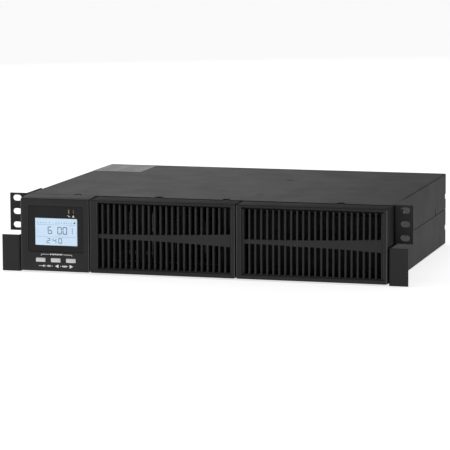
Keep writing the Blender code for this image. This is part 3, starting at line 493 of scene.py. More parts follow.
def box(low, high, edge=0.3, steps=2):
    """A block between two corners, with rounded edges."""
    low, high = spot(*low), spot(*high)
    shape = bmesh.new()
    place = Matrix.Translation((low + high) / 2) @ Matrix.Diagonal((*(high - low), 1.0))
    bmesh.ops.create_cube(shape, size=1.0, matrix=place)
    bmesh.ops.bevel(shape, geom=shape.edges, offset=edge * MM, segments=steps, profile=0.5, affect="EDGES")
    return to_mesh("box", shape)


def bar(x, z, half_x, half_z, y0, y1, edge=0.3, steps=2):
    """A block round the line through (x, z), from y0 to y1."""
    return box((x - half_x, y0, z - half_z), (x + half_x, y1, z + half_z), edge, steps)


def filling(low, high, margin, y0, y1, edge=0.3):
    """A block inside a node's outline, from y0 to y1."""
    return box((low.x + margin, y0, low.z + margin), (high.x - margin, y1, high.z - margin), edge)


def turned(centre, axis, profile, sides=32, bored=False):
    """A solid of revolution: profile is (radius, distance along the axis) from the centre.

    A bored one has a closed profile, with a hole through the middle.
    """
    way = Vector(axis)
    across = Vector((0, 0, 1)) if abs(way.z) < 0.5 else Vector((1, 0, 0))
    other = way.cross(across)
    spokes = [across * cos(tau * step / sides) + other * sin(tau * step / sides) for step in range(sides)]
    rings = [[Vector(centre) + (spoke * radius + way * along) * MM for spoke in spokes]
             for radius, along in profile]
    return loft(rings, caps=not bored)


def carved(mesh, cutters):
    """The mesh with other closed meshes cut out of it."""
    item = shown("carved", mesh)
    tools = [shown("cutter", cutter) for cutter in cutters]
    for tool in tools:
        cut = item.modifiers.new("cut", "BOOLEAN")
        cut.operation = "DIFFERENCE"
        cut.solver = "EXACT"
        cut.object = tool
    result = bpy.data.meshes.new_from_object(item.evaluated_get(bpy.context.evaluated_depsgraph_get()))
    for used in [item, *tools]:
        bpy.data.objects.remove(used, do_unlink=True)
    return result


def paint_cad(look, *nodes, edge=0.0):
    """CAD nodes that stay: their own look, and edges rounded by a modifier."""
    for name in nodes:
        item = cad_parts[name]
        item.data.materials.clear()
        item.data.materials.append(LOOKS[look])
        weld = item.modifiers.new("weld", "WELD")
        weld.merge_threshold = WELD
        if edge:
            soften = item.modifiers.new("soften", "BEVEL")
            soften.width = edge * MM
            soften.segments = 2
            soften.limit_method = "ANGLE"
            soften.angle_limit = radians(50)
            soften.harden_normals = False


# Front blocks
MODULE = extent("display_housing")
FRONT = MODULE[0].y
BACK = -0.4
TOP = 88.0
LOW_EDGE = 0.3
TOP_TAPER = 1.5
LOW_TAPER = 1.3
SIDE_TAPER = 1.1
ROUND = 1.2
REAR_ROUND = 1.2
SKIN = 2.2
RECESSED_SKIN = 3.0
WALL = 2.5
POCKET_LOW = 3.9
POCKET_HIGH = 84.9
TONGUE_X = (-159.0, -59.0, 22.0, 157.0)
TONGUE_HALF = 3.5


def ring(area, radius, y, steps=3):
    return [spot(x, y, z) for x, z in rounded(*area, radius, steps)]


def quarter(steps):
    """1 - cosine, and 1 - sine, in even steps round a quarter turn."""
    angles = [pi / 2 * step / steps for step in range(steps + 1)]
    return [(1 - cos(angle), 1 - sin(angle)) for angle in angles]


def front_shell(x0, x1, left, right, opening, radius, recess=None, drop=0.0):
    """A drafted front block as one closed skin: hollow behind, with a rounded opening in its face.

    Its rings run from the back of the opening, over the face and the outer edge, down the
    drafted sides, and back up inside. A recess is a shallow step round the opening.
    """
    def outer(y, inset=0.0):
        share = (BACK - y) / (BACK - FRONT)
        return (x0 + left * share + inset, x1 - right * share - inset,
                LOW_EDGE + LOW_TAPER * share + inset, TOP - drop - (TOP_TAPER - drop) * share - inset)

    skin, lip = (RECESSED_SKIN, 0.35) if recess else (SKIN, 0.7)
    rings = [ring(opening, radius, FRONT + skin)]
    if recess:
        area, floor_y = recess
        rings += [ring(opening, radius, floor_y), ring(area, 2.0, floor_y)]
        opening, radius = area, 2.0
    for spread, rise in quarter(3):
        rings.append(ring(grown(opening, lip * spread), radius + lip * spread, FRONT + lip * rise))
    for back, inset in quarter(4):
        y = FRONT + ROUND * back
        rings.append(ring(outer(y, ROUND * inset), 1.6 - 0.6 * inset, y))
    for inset, forward in quarter(3):
        inset *= REAR_ROUND
        rings.append(ring(outer(BACK, inset), 1.6 - inset / 2, BACK - REAR_ROUND * forward))
    pocket = (x0 + WALL, x1 - WALL, POCKET_LOW, POCKET_HIGH)
    rings += [ring(pocket, 1.0, BACK), ring(pocket, 1.0, FRONT + skin)]
    return loft(rings, caps=False)


def tongues(x0, x1, drop=0.0):
    """Latch tongues along the top, which reach into the notches of the cover."""
    return [box((x - TONGUE_HALF, BACK - 6.0, TOP - 1.3), (x + TONGUE_HALF, 6.5, TOP - 0.35 - drop), 0.15, 1)
            for x in TONGUE_X if x0 < x < x1]


def burnish(item):
    """Gives the rounded upright edges of a moulding a glossier surface than its flats."""
    item.data.materials.append(LOOKS["burnished_edge"])
    for side in item.data.polygons:
        across, along, up = (abs(part) for part in side.normal)
        if up < 0.35 and max(across, along) < 0.96:
            side.material_index = 1


SLOTS = 23
PITCH = 7.01
SLOT_W = 4.2
SLOT_EASE = 1.5
SLAT_SHIFT = 0.55
GRILLE_RIM = 1.2
SLOT_LOW = 7.4
SLOT_HIGH = 82.0
BAND = (42.15, 47.0)
FLARE = 4.9
BEZEL_DROP = 0.6
SEAM_EASE = 0.15
BEZELS = {  # side: opening, first slot, taper on the right
    "middle": ((-123.9, 36.9, 6.5, 84.0), -123.1, 0.0),
    "right": ((48.2, 213.6, 6.4, 83.9), 52.6, SIDE_TAPER),
}


def band_growth(share):
    """How far the plain band reaches over the slots: it flares towards the right."""
    share = max(0.0, min(1.0, share))
    return FLARE * (0.25 * share + 0.75 * share ** 2)


def grille(side, first):
    low, high = extent(f"grille_{side}")
    holes = [rounded(low.x, high.x, low.z, high.z, 1.0, 2)]
    width = PITCH * (SLOTS - 1) + SLOT_W
    for column in range(SLOTS):
        x0 = max(first + PITCH * column - SLOT_EASE, low.x + GRILLE_RIM)
        x1 = first + PITCH * column + SLOT_W - SLAT_SHIFT
        near, far = band_growth((x0 - first) / width), band_growth((x1 - first) / width)
        holes.append([(x0, SLOT_LOW), (x1, SLOT_LOW), (x1, BAND[0] - far), (x0, BAND[0] - near)])
        holes.append([(x0, BAND[1] + near), (x1, BAND[1] + far), (x1, SLOT_HIGH), (x0, SLOT_HIGH)])
    mesh = plate(holes, low.y, high.y, 0.3, 3)
    step = box((low.x - 2, low.y - 2, SLOT_HIGH - 0.1), (high.x + 2, low.y + 5.0, high.z + 2), 0.05, 1)
    burnish(piece(f"{side}_bezel_grille", carved(mesh, [step]), "grille_plastic", f"grille_{side}",
                  f"{side}_bezel"))


def bezels():
    for side, (opening, first, taper) in BEZELS.items():
        node = f"bezel_{side}"
        low, high = extent(node)
        low.x, high.x = low.x + SEAM_EASE, high.x - SEAM_EASE
        shell = front_shell(low.x, high.x, 0.0, taper, opening, 0.8, None, BEZEL_DROP)
        meshes = [shell, *tongues(low.x, high.x, BEZEL_DROP)]
        burnish(piece(f"{side}_bezel_frame", meshes, "bezel_plastic", node, f"{side}_bezel"))
        grille(side, first)


# Display module
WINDOW = (-208.5, -141.0, 24.4, 77.7)
WINDOW_BACK = (-205.0, -145.0, 28.0, 76.0)
LCD = (-200.3, -148.5, 31.8, 63.8)
KEYS = ("button_left", "button_middle", "button_right")
LAMPS = {"led_normal": "green_light", "led_fault": "red_light"}
ICON_STROKES = ((0.50, 0.4), (0.57, 0.9), (0.63, 0.6), (0.69, 1.1), (0.75, 0.5), (0.81, 0.9), (0.87, 0.6))
ARROWS = ((-190.6, 1.5, -1), (-173.9, 2.1, -1), (-155.9, 2.2, 1))
DIGITS = {0: "abcdef", 2: "abged", 4: "fgbc", 6: "afgcde"}


def digit(number, x, z, width, height):
    """Strokes of one seven-segment digit."""
    t = width * 0.17
    half = height / 2
    strokes = {
        "a": (x + t, x + width - t, z + height - t, z + height),
        "b": (x + width - t, x + width, z + half + t / 3, z + height - t / 2),
        "c": (x + width - t, x + width, z + t / 2, z + half - t / 3),
        "d": (x + t, x + width - t, z, z + t),
        "e": (x, x + t, z + t / 2, z + half - t / 3),
        "f": (x, x + t, z + half + t / 3, z + height - t / 2),
        "g": (x + t, x + width - t, z + half - t / 2, z + half + t / 2),
    }
    return [strokes[key] for key in DIGITS[number]]


def arrow(x, z, half, way):
    return [(x - way * half, z - half), (x + way * half, z), (x - way * half, z + half)]


def thin_marks(areas, y, thick=0.06):
    """Flat printed rectangles or outlines in front of a face."""
    meshes = []
    for area in areas:
        loop = area if isinstance(area, list) else [(area[0], area[2]), (area[1], area[2]),
                                                    (area[1], area[3]), (area[0], area[3])]
        meshes.append(plate([loop], y - thick, y + 0.02, 0.01, 1))
    return meshes


def lcd_marks():
    """A generic reading: icons, rules, a large number and a small one."""
    x0, x1, z0, z1 = LCD
    wide, tall = x1 - x0, z1 - z0
    rules = [z1 - share * tall for share in (0.24, 0.68)]
    marks = [(x0 + 0.03 * wide, x1 - 0.03 * wide, z - 0.1, z + 0.1) for z in rules]
    row = z1 - 0.16 * tall
    for number in range(4):
        x = x0 + (0.08 + 0.062 * number) * wide
        foot = row - 1.1 + 0.2 * number
        marks += [(x - 1.0, x + 0.9, foot, foot + 0.25),
                  (x - 1.0, x - 0.75, row - 1.1, row + 1.3 - 0.3 * number)]
    marks.append(arrow(x0 + 0.345 * wide, row + 0.1, 0.7, 1))
    for share, rise in ICON_STROKES:
        x = x0 + share * wide
        marks += [(x - 0.6, x + 0.7, row - 1.0, row - 0.7), (x - 0.15, x + 0.2, row - 0.8, row + rise)]
    marks.append((x0 + 0.915 * wide, x0 + 0.955 * wide, row - 0.9, row + 1.1))
    base = z1 - 0.585 * tall
    for share, number in ((0.30, 6), (0.53, 0), (0.655, 0)):
        marks += digit(number, x0 + share * wide, base, 5.2, 8.8)
    for lift in (1.6, 3.9, 6.2):
        marks.append((x0 + 0.875 * wide, x0 + 0.895 * wide, base + lift, base + lift + 1.2))
    base = z1 - 0.92 * tall
    for share, number in ((0.27, 2), (0.415, 4), (0.55, 0)):
        marks += digit(number, x0 + share * wide, base, 4.4, 6.2)
    return marks


def printed_marks():
    """White symbols round the keys, none of them letters."""
    marks = [(-193.1, -192.6, 19.7, 21.6), (-155.5, -155.0, 19.7, 21.6),
             (-193.1, -183.2, 21.1, 21.6), (-165.8, -155.0, 21.1, 21.6), (-196.0, -191.2, 7.45, 8.05)]
    for number in range(8):
        x = -181.3 + 1.97 * number
        marks.append((x - 0.65, x + 0.65, 20.6 + 0.3 * (number % 2), 22.3))
    marks += [arrow(x, 7.75, half, way) for x, half, way in ARROWS]
    marks += [(x - 0.6, x + 0.6, 7.45, 8.15) for x in (-187.4, -179.6, -169.0, -160.6)]
    marks += [rounded(x - 0.8, x + 0.8, 6.8, 8.8, 0.4, 2) for x in (-184.5, -182.4, -166.4, -164.4, -162.5)]
    return marks


def lamp_marks():
    """A wave under one lamp and a triangle under the other."""
    wave = [(-160.7, 67.5), (-159.6, 67.9), (-158.6, 66.9), (-157.4, 66.3), (-156.6, 66.9), (-156.9, 66.2),
            (-157.6, 65.7), (-158.9, 66.2), (-159.8, 67.2)]
    return [wave, [(-154.6, 65.6), (-151.6, 65.6), (-153.1, 68.2)]]


def display_module():
    low, high = MODULE
    body = "display_module"
    shell = front_shell(low.x, high.x, SIDE_TAPER, 0.0, WINDOW_BACK, 1.5, (grown(WINDOW, 0.25), FRONT + 1.8))
    shell = carved(shell, [filling(*extent(key), 0.7, FRONT - 2, FRONT + 4, 0.5) for key in KEYS])
    meshes = [shell, *tongues(low.x, high.x)]
    burnish(piece("display_module_housing", meshes, "module_plastic", "display_housing", body))
    holes = []
    for name, look in LAMPS.items():
        inner, outer = extent(name)
        holes.append(rounded(inner.x - 0.05, outer.x + 0.05, inner.z - 0.15, outer.z + 0.15, 0.5, 2))
        lamp = box((inner.x + 0.15, FRONT + 0.5, inner.z), (outer.x - 0.15, outer.y, outer.z), 0.35)
        piece(name + "_lamp", lamp, look, name, body)
    lens = plate([rounded(*WINDOW, 1.8), rounded(*LCD, 0.4, 2), *holes], FRONT + 0.6, FRONT + 1.5, 0.18)
    piece("display_window_lens", lens, "window_lens", "display_window", body, 15.0)
    glass = box((LCD[0] + 0.2, FRONT + 0.95, LCD[2] + 0.2), (LCD[1] - 0.2, FRONT + 2.6, LCD[3] - 0.2), 0.1, 1)
    piece("lcd_glass", glass, "lcd_face", "lcd_panel", body)
    inner, outer = extent("lcd_panel")
    piece("lcd_case", filling(inner, outer, 0.0, FRONT + 2.7, outer.y, 0.5), "zinc_steel", body=body)
    piece("lcd_segments", thin_marks(lcd_marks(), FRONT + 0.93, 0.03), "lcd_ink", body=body)
    piece("key_symbols", thin_marks(printed_marks(), FRONT, 0.05), "white_ink", body=body)
    piece("lamp_symbols", thin_marks(lamp_marks(), FRONT + 0.6, 0.05), "white_ink", body=body)
    for key in KEYS:
        key_cap(key)


def key_cap(name):
    """Key with a softly domed face, a flange behind the wall and a stem to its switch."""
    inner, outer = extent(name)
    flange = (inner.x, outer.x, inner.z, outer.z)
    cap = grown(flange, -1.0)
    x, z = (cap[0] + cap[1]) / 2, (cap[2] + cap[3]) / 2
    dome = ((1.6, 0.4, -0.02), (0.55, 0.6, 0.06), (0.2, 0.8, 0.25), (0.0, 0.9, 0.6))
    rings = [ring(grown(cap, -inset), radius, inner.y + y) for inset, radius, y in dome]
    rings.append(ring(cap, 0.9, FRONT + 3.4))
    rings += [ring(flange, 0.9, FRONT + y) for y in (3.4, 4.4)]
    rings += [ring((x - 2, x + 2, z - 2, z + 2), 0.5, y) for y in (FRONT + 4.4, outer.y)]
    piece(name + "_cap", loft(rings), "grey_keys", name, name)


# Rest of the front and the chassis
REAR = extent("rear_panel")[1].y
SIDE_FACE = 221.35
SIDE_SEAM = 217.9
LABEL = (-218.2, -155.5, 235.5, 303.0)
SIDES = (-1, 1)


def screw_head(seat, way, radius, height, shank=0.0):
    """Pan head with a cross recess, standing on its seat."""
    profile = [(radius * 0.93, 0.0), (radius, height * 0.12), (radius, height * 0.35)]
    for step in range(1, 6):
        angle = pi / 2 * step / 5
        profile.append((max(radius * cos(angle), 0.05), height * (0.35 + 0.65 * sin(angle))))
    if shank:
        profile = [(radius * 0.4, -shank), (radius * 0.5, -shank + 0.5), (radius * 0.5, 0.0), *profile]
    head = turned(seat, way, profile, 24)
    way, side = Vector(way), Vector((0, 0, 1))
    tip = Matrix.Translation(Vector(seat) + way * height * MM)
    other = way.cross(side)
    blade = Matrix.Diagonal((radius * 1.15 * MM, radius * 0.24 * MM, height * 0.9 * MM, 1.0))
    blades = []
    for along, across in ((side, other), (other, side)):
        shape = bmesh.new()
        axes = Matrix((along, across, way)).transposed().to_4x4()
        bmesh.ops.create_cube(shape, size=1.0, matrix=tip @ axes @ blade)
        blades.append(to_mesh("blade", shape))
    return carved(head, blades)


def rear_screws(name, places, y, radius, height, shank=0.0):
    """Black screws at places (x, z), facing the rear."""
    heads = [screw_head(spot(x, y, z), OUT, radius, height, shank) for x, z in places]
    piece(name, heads, "black_screws")


def brackets():
    for side, sign in (("left", -1), ("right", 1)):
        paint_cad("black_paint", f"rack_bracket_{side}", edge=0.35)
        for level in ("upper", "lower"):
            node = f"bracket_screw_{side}_{level}"
            low, high, _, z = placed(node)
            seat = spot(SIDE_FACE * sign, (low.y + high.y) / 2, z)
            mesh = screw_head(seat, (sign, 0, 0), (high.z - low.z) / 2, 2.0, 3.8)
            piece(node + "_fine", mesh, "black_screws", node)


def chassis():
    paint_cad("black_paint", "top_cover", "base_chassis", "front_frame", "rear_panel", edge=0.15)
    paint_cad("zinc_steel", "bay_wall")
    piece("blank_label", plate([rounded(*LABEL, 1.0)], TOP, TOP + 0.12, 0.04, 1, lying=True), "label")
    bars = []
    for row in range(11):
        y = 241.0 + 5.4 * row
        reach = (52.0, 38.0, 47.0, 30.0)[row % 4]
        for x, share in ((-212.0, 0.36), (-188.0, 0.55)):
            bars.append(box((x, y, TOP + 0.06), (x + share * reach, y + 1.5, TOP + 0.145), 0.02, 1))
    piece("label_print", bars, "label_ink")
    # Dark blocks just inside the cover's side and top slits: painted shade for the hollow of each slit, not a
    # real part
    slit_shade_blocks = [box((side * SIDE_SEAM - 0.35, 243.15, 42.2), (side * SIDE_SEAM + 0.35, 244.85, 51.8), 0.1, 1)
               for side in SIDES]
    slit_shade_blocks += [box((44.8, y - 0.9, 85.2), (51.7, y + 0.9, 87.1), 0.1, 1) for y in (56.5, 195.0)]
    piece("cover_slit_shade_blocks", slit_shade_blocks, "black_screws")
    tabs = [bar(side * 216.9, (low + high) / 2, 0.6, (high - low) / 2, REAR - 0.1, 309.6)
            for side in SIDES for low, high in ((16.0, 26.0), (54.5, 65.0))]
    piece("rear_panel_tabs", tabs, "black_paint")


# Fan
BLADES = 7
BLADE_STEPS = 6
HUB_RIM = [(18.5, -1.6), (18.1, -0.5), (17.0, 0.0), (14.6, 0.0), (14.0, -0.5), (0.05, -0.5)]


def fan():
    """Fan frame with its struts, a rotor of swept blades, and a wire guard with its screws."""
    low, high, x, z = placed("fan_frame")
    corner = (high.x - low.x) / 2 - 4.3
    corners = [(x + a * corner, z + b * corner) for a in SIDES for b in SIDES]
    loops = [face(low, high, 4.0), circle(x, z, 38.3, 56), *(circle(*place, 2.2, 14) for place in corners)]
    cap = [(0.05, 0.0), (16.2, 0.0), (17.0, 0.8), (17.0, 3.0), (0.05, 3.0)]
    meshes = [plate(loops, low.y, high.y, 0.6), turned(spot(x, low.y, z), OUT, cap)]
    pivot = Matrix.Translation(spot(x, 0, z))
    for number in range(4):
        arm = box((x - 1.6, low.y + 0.3, z + 15.0), (x + 1.6, low.y + 2.7, z + 40.0), 0.5)
        arm.transform(pivot @ Matrix.Rotation(radians(45 + 90 * number), 4, "Y") @ pivot.inverted())
        meshes.append(arm)
    piece("fan_housing", meshes, "rear_plastic", "fan_frame")
    rotor()
    guard(x, z, corners)


def rotor():
    low, high, x, z = placed("fan_rotor")
    half = (high.y - low.y) / 2
    centre = spot(x, (low.y + high.y) / 2, z)
    hub = [(0.05, -half), (17.6, -half), (18.5, -half + 1.0)] + [(r, half + lift) for r, lift in HUB_RIM]
    blades = [fan_blade(centre, tau * number / BLADES, half) for number in range(BLADES)]
    meshes = [turned(centre, OUT, hub, 48), *blades]
    piece("fan_impeller", meshes, "rear_plastic", "fan_rotor", "fan_rotor")


def fan_blade(centre, start, half):
    """One blade: cambered sections from the hub to the tip, less pitched and swept back outwards."""
    rings = []
    for step in range(BLADE_STEPS + 1):
        share = step / BLADE_STEPS
        radius = 17.8 + 18.9 * share
        pitch = radians(50 - 19 * share)
        reach = (15.0 + 6.0 * share) / 2
        sweep = start - radians(20) * share ** 1.4
        section = []
        for side in (1, -1):
            for index in range(BLADE_STEPS + 1):
                along = side * (2 * index / BLADE_STEPS - 1)
                lift = 2.0 * (1 - along ** 2) + side * 0.6 * (1.05 - along ** 4)
                angle = sweep + (along * reach * cos(pitch) - lift * sin(pitch)) / radius
                axial = along * reach * sin(pitch) + lift * cos(pitch)
                axial = max(-half + 0.8, min(half - 0.8, axial))
                section.append(centre + Vector((radius * cos(angle), axial, radius * sin(angle))) * MM)
        rings.append(section)
    return loft(rings)


def guard(x, z, corners):
    """Concentric wires on four spokes, each ending in an eye under a screw."""
    low, high = extent("fan_guard")
    y = (low.y + high.y) / 2
    wires = [hoop(x, y - 0.3, z, radius, 64, 0.75) for radius in (10.0, 18.0, 26.0, 34.0)]
    for cx, cz in corners:
        way = Vector((cx - x, 0, cz - z)).normalized()
        start, end = Vector((x, 0, z)) + way * 9.6, Vector((cx, 0, cz)) - way * 3.1
        wires.append(tube([spot(p.x, y + 0.35, p.z) for p in (start, end)], 0.85))
        wires.append(hoop(cx, y + 0.2, cz, 3.1, 20, 0.75))
    piece("fan_finger_guard", wires, "zinc_steel", "fan_guard")
    rear_screws("fan_screws", corners, REAR + 0.3, 2.9, 2.2)


# Mains sockets. Outlines of couplers are (chamfer, half width, half height)
INLET_MOUTH = (4.5, 12.3, 8.5)
OUTLET_MOUTH = (4.5, 12.1, 8.3)
OUTLET_CORE = (3.8, 10.2, 6.4)
OUTLET_OFFSET = (13.5, 11.0)
SLITS = ((-7.0, -1.5), (7.0, -1.5), (0.0, 2.5))
PINS = ((-7.0, -2.0), (7.0, -2.0), (0.0, 2.0))
WELL_DEPTH = 13.0


def coupler(x, z, chamfer, half_w, half_h):
    """The six-sided outline of a mains coupler."""
    shoulder = z + half_h - chamfer
    return [(x - half_w, z - half_h), (x + half_w, z - half_h), (x + half_w, shoulder),
            (x + half_w - chamfer, z + half_h), (x - half_w + chamfer, z + half_h), (x - half_w, shoulder)]


def outlets():
    """Two blocks of four outlets: a rim, deep grooves, and a core with three contacts in each."""
    for node in ("outlet_block_left", "outlet_block_right"):
        low, high, x, z = placed(node)
        middles = [(x + a * OUTLET_OFFSET[0], z + b * OUTLET_OFFSET[1]) for a in SIDES for b in SIDES]
        mouths = [coupler(*middle, *OUTLET_MOUTH) for middle in middles]
        back = filling(low, high, 2.5, low.y, REAR + 0.6, 0.6)
        wells = [plate([mouth], REAR - WELL_DEPTH, REAR + 6.0, 0.05, 1) for mouth in mouths]
        meshes = [plate([face(low, high, 2.5), *mouths], REAR + 0.4, high.y, 0.35), carved(back, wells)]
        contacts = []
        for cx, cz in middles:
            slits = [(cx + dx, cz + dz) for dx, dz in SLITS]
            core = [coupler(cx, cz, *OUTLET_CORE)]
            core += [rounded(sx - 1.2, sx + 1.2, sz - 2.2, sz + 2.2, 0.3, 2) for sx, sz in slits]
            meshes.append(plate(core, REAR - WELL_DEPTH - 0.2, high.y - 0.5, 0.3))
            contacts += [bar(sx + side * 0.9, sz, 0.2, 2.0, REAR - WELL_DEPTH + 0.1, REAR - 1.5, 0.1, 1)
                         for sx, sz in slits for side in SIDES]
        piece(f"{node}_moulding", meshes, "rear_plastic", node)
        piece(f"{node}_contacts", contacts, "brass")


def inlet():
    low, high, x, z = placed("mains_inlet")
    mouth = coupler(x, z, *INLET_MOUTH)
    ears = [(x - 20, z), (x + 20, z)]
    holes = [circle(*ear, 1.7, 16) for ear in ears]
    flange = plate([face(low, high, 4.0), mouth, *holes], high.y - 2.0, high.y, 0.4)
    back = bar(x, z, 14.0, 10.5, low.y, high.y - 1.4, 0.6)
    well = plate([mouth], REAR - 15.0, REAR + 8.0, 0.05, 1)
    piece("mains_inlet_moulding", [flange, carved(back, [well])], "rear_plastic", "mains_inlet")
    pins = [bar(x + dx, z + dz, 1.0, 2.0, REAR - 15.5, REAR - 3.6, 0.45) for dx, dz in PINS]
    piece("mains_inlet_pins", pins, "nickel")
    rear_screws("mains_inlet_screws", ears, high.y, 3.0, 1.3, 4.0)


def breaker():
    low, _, x, z = placed("breaker_body")
    deep = low.y - REAR
    nut = [(4.1, deep + 0.2), (5.8, deep), (5.8, 0.3), (8.3, 0.3), (8.5, 0.5), (8.5, 1.1), (8.1, 1.5),
           (4.5, 1.5), (4.1, 1.1)]
    piece("breaker_collar", turned(spot(x, REAR, z), OUT, nut, 40, True), "rear_plastic", "breaker_body")
    low, high = extent("breaker_button")
    deep, tall = low.y - REAR, high.y - REAR
    cap = [(0.05, deep), (3.3, deep), (3.6, deep + 0.3), (3.6, tall - 0.7), (3.4, tall - 0.25), (2.9, tall),
           (1.5, tall - 0.15), (0.05, tall - 0.2)]
    mesh = turned(spot(x, REAR, z), OUT, cap, 36)
    piece("breaker_push_button", mesh, "grey_connector", "breaker_button", "breaker_button")


# Signal sockets
SURGE_OFFSET = 7.2
SURGE_MOUTH = ((-5.9, 17.6), (5.9, 17.6), (5.9, 25.4), (3.0, 25.4), (3.0, 27.5), (-3.0, 27.5), (-3.0, 25.4),
               (-5.9, 25.4))
SERIAL_PITCH = 2.77
SERIAL_EARS = (-12.5, 12.5)
JACK_POST = [(2.6, 0.6), (2.75, 0.8), (2.75, 3.5), (2.5, 3.8), (1.5, 3.8), (1.3, 3.6), (1.3, 0.6)]
CLAMP_SCREW = [(0.05, 0.0), (1.05, 0.0), (1.05, 1.8), (0.9, 2.0), (0.05, 2.0)]


def socket(node, name, look, radius, holes, y, edge=0.2, soft=0.4):
    """The body of a socket: solid up to y, and with holes from there on."""
    low, high = extent(node)
    front = plate([face(low, high, radius), *holes], y, high.y, edge)
    piece(f"{node}_{name}", [front, filling(low, high, 0.1, low.y, y + 0.1, soft)], look, node)


def usb():
    *_, x, z = placed("usb_socket")
    mouth = [(x + dx, z + dz) for dx, dz in
             ((-4.4, -4.1), (4.4, -4.1), (4.4, 2.4), (2.8, 4.1), (-2.8, 4.1), (-4.4, 2.4))]
    socket("usb_socket", "shell", "nickel", 0.8, [mouth], REAR - 9.0)
    piece("usb_socket_tongue", bar(x, z, 2.8, 1.5, REAR - 9.1, REAR - 1.0), "rear_plastic")
    wires = [bar(x + dx, z + dz, 0.5, 0.1, REAR - 8.8, REAR - 2.0, 0.06, 1)
             for dx in (-1.3, 1.3) for dz in (-1.5, 1.5)]
    piece("usb_socket_contacts", wires, "brass")


def serial():
    low, high, x, z = placed("serial_socket")

    def trapezium(margin):
        return [(x - 8.6 - margin, z + 4.1 + margin), (x + 8.6 + margin, z + 4.1 + margin),
                (x + 7.2 + margin, z - 4.1 - margin), (x - 7.2 - margin, z - 4.1 - margin)]

    ears = [circle(x + dx, z, 1.3, 14) for dx in SERIAL_EARS]
    flange = plate([face(low, high, 1.5), *ears, trapezium(-0.6)], REAR - 0.4, REAR + 0.6, 0.15)
    shroud = plate([trapezium(0.0), trapezium(-0.55)], REAR - 8.0, high.y, 0.12)
    piece("serial_socket_shell", [flange, shroud], "nickel", "serial_socket")
    holes = [circle(x + SERIAL_PITCH * (index - (count - 1) / 2), z + lift, 0.65, 12)
             for count, lift in ((5, 1.4), (4, -1.4)) for index in range(count)]
    piece("serial_socket_insert", plate([trapezium(-0.6), *holes], low.y, high.y - 0.4, 0.12), "rear_plastic")
    jacks = [turned(spot(x + dx, REAR, z), OUT, JACK_POST, 6, True) for dx in SERIAL_EARS]
    piece("serial_jack_posts", jacks, "nickel")


def surge():
    """A pair of line sockets side by side, each with its latch notch and eight contacts."""
    x = placed("surge_sockets")[2]
    mouths = []
    wires = []
    for cx in (x - SURGE_OFFSET, x + SURGE_OFFSET):
        mouths.append([(cx + dx, z) for dx, z in SURGE_MOUTH])
        for index in range(8):
            wx = cx + 1.02 * (index - 3.5)
            route = [spot(wx, REAR - deep, z) for deep, z in ((1.2, 17.9), (8.6, 20.6), (10.9, 21.2))]
            wires.append(tube(route, 0.2, 1))
    socket("surge_sockets", "moulding", "rear_plastic", 0.8, mouths, REAR - 11.0, 0.25)
    piece("surge_sockets_contacts", wires, "brass")


def epo():
    """Emergency-off terminal: two wire mouths, each under its clamp screw."""
    _, high, x, _ = placed("epo_connector")
    holes = []
    clamps = []
    for cx in (x - 2.85, x + 2.85):
        holes += [rounded(cx - 2.35, cx + 2.35, 18.6, 23.2, 0.3, 2), circle(cx, 25.2, 1.15, 16)]
        clamps += [turned(spot(cx, high.y - 3.0, 25.2), OUT, CLAMP_SCREW, 16),
                   bar(cx, 19.1, 2.2, 0.3, high.y - 7.8, high.y - 5.0, 0.1, 1)]
    socket("epo_connector", "moulding", "green_terminal", 0.5, holes, high.y - 8.0, soft=0.3)
    piece("epo_connector_clamps", clamps, "nickel")


def card_slot():
    low, high, _, z = placed("card_slot_cover")
    holes = [circle(x, z, 1.9, 16) for x in (low.x + 4, high.x - 4)]
    mesh = plate([face(low, high, 0.8), *holes], low.y, high.y, 0.25)
    piece("card_slot_blank", mesh, "black_paint", "card_slot_cover")
    for node in ("card_screw_left", "card_screw_right"):
        inner, outer, x, z = placed(node)
        head = screw_head(spot(x, high.y, z), OUT, (outer.x - inner.x) / 2, outer.y - high.y, 4.0)
        piece(node + "_fine", head, "nickel", node)


def panel_screws():
    places = [(x, z) for x in (-212.4, 212.4) for z in (6.6, 81.4)] + [(69.0, 81.4), (69.0, 6.6)]
    rear_screws("rear_panel_screws", places, REAR, 2.6, 1.3)
    washer = [(2.0, 0.0), (5.2, 0.0), (5.2, 0.6), (5.0, 0.8), (2.0, 0.8)]
    earth = [turned(spot(203, REAR, 24), OUT, washer, 28, True),
             screw_head(spot(203, REAR + 0.8, 24), OUT, 3.8, 2.3)]
    piece("earth_screw", earth, "nickel")


# Battery bay
TERMINAL_ROOM = 4.5
LID_HEIGHT = 13.0
TERMINAL_INSET = 14.0
LEAD_RADIUS = 1.7
LEAD_BEND = 7.0


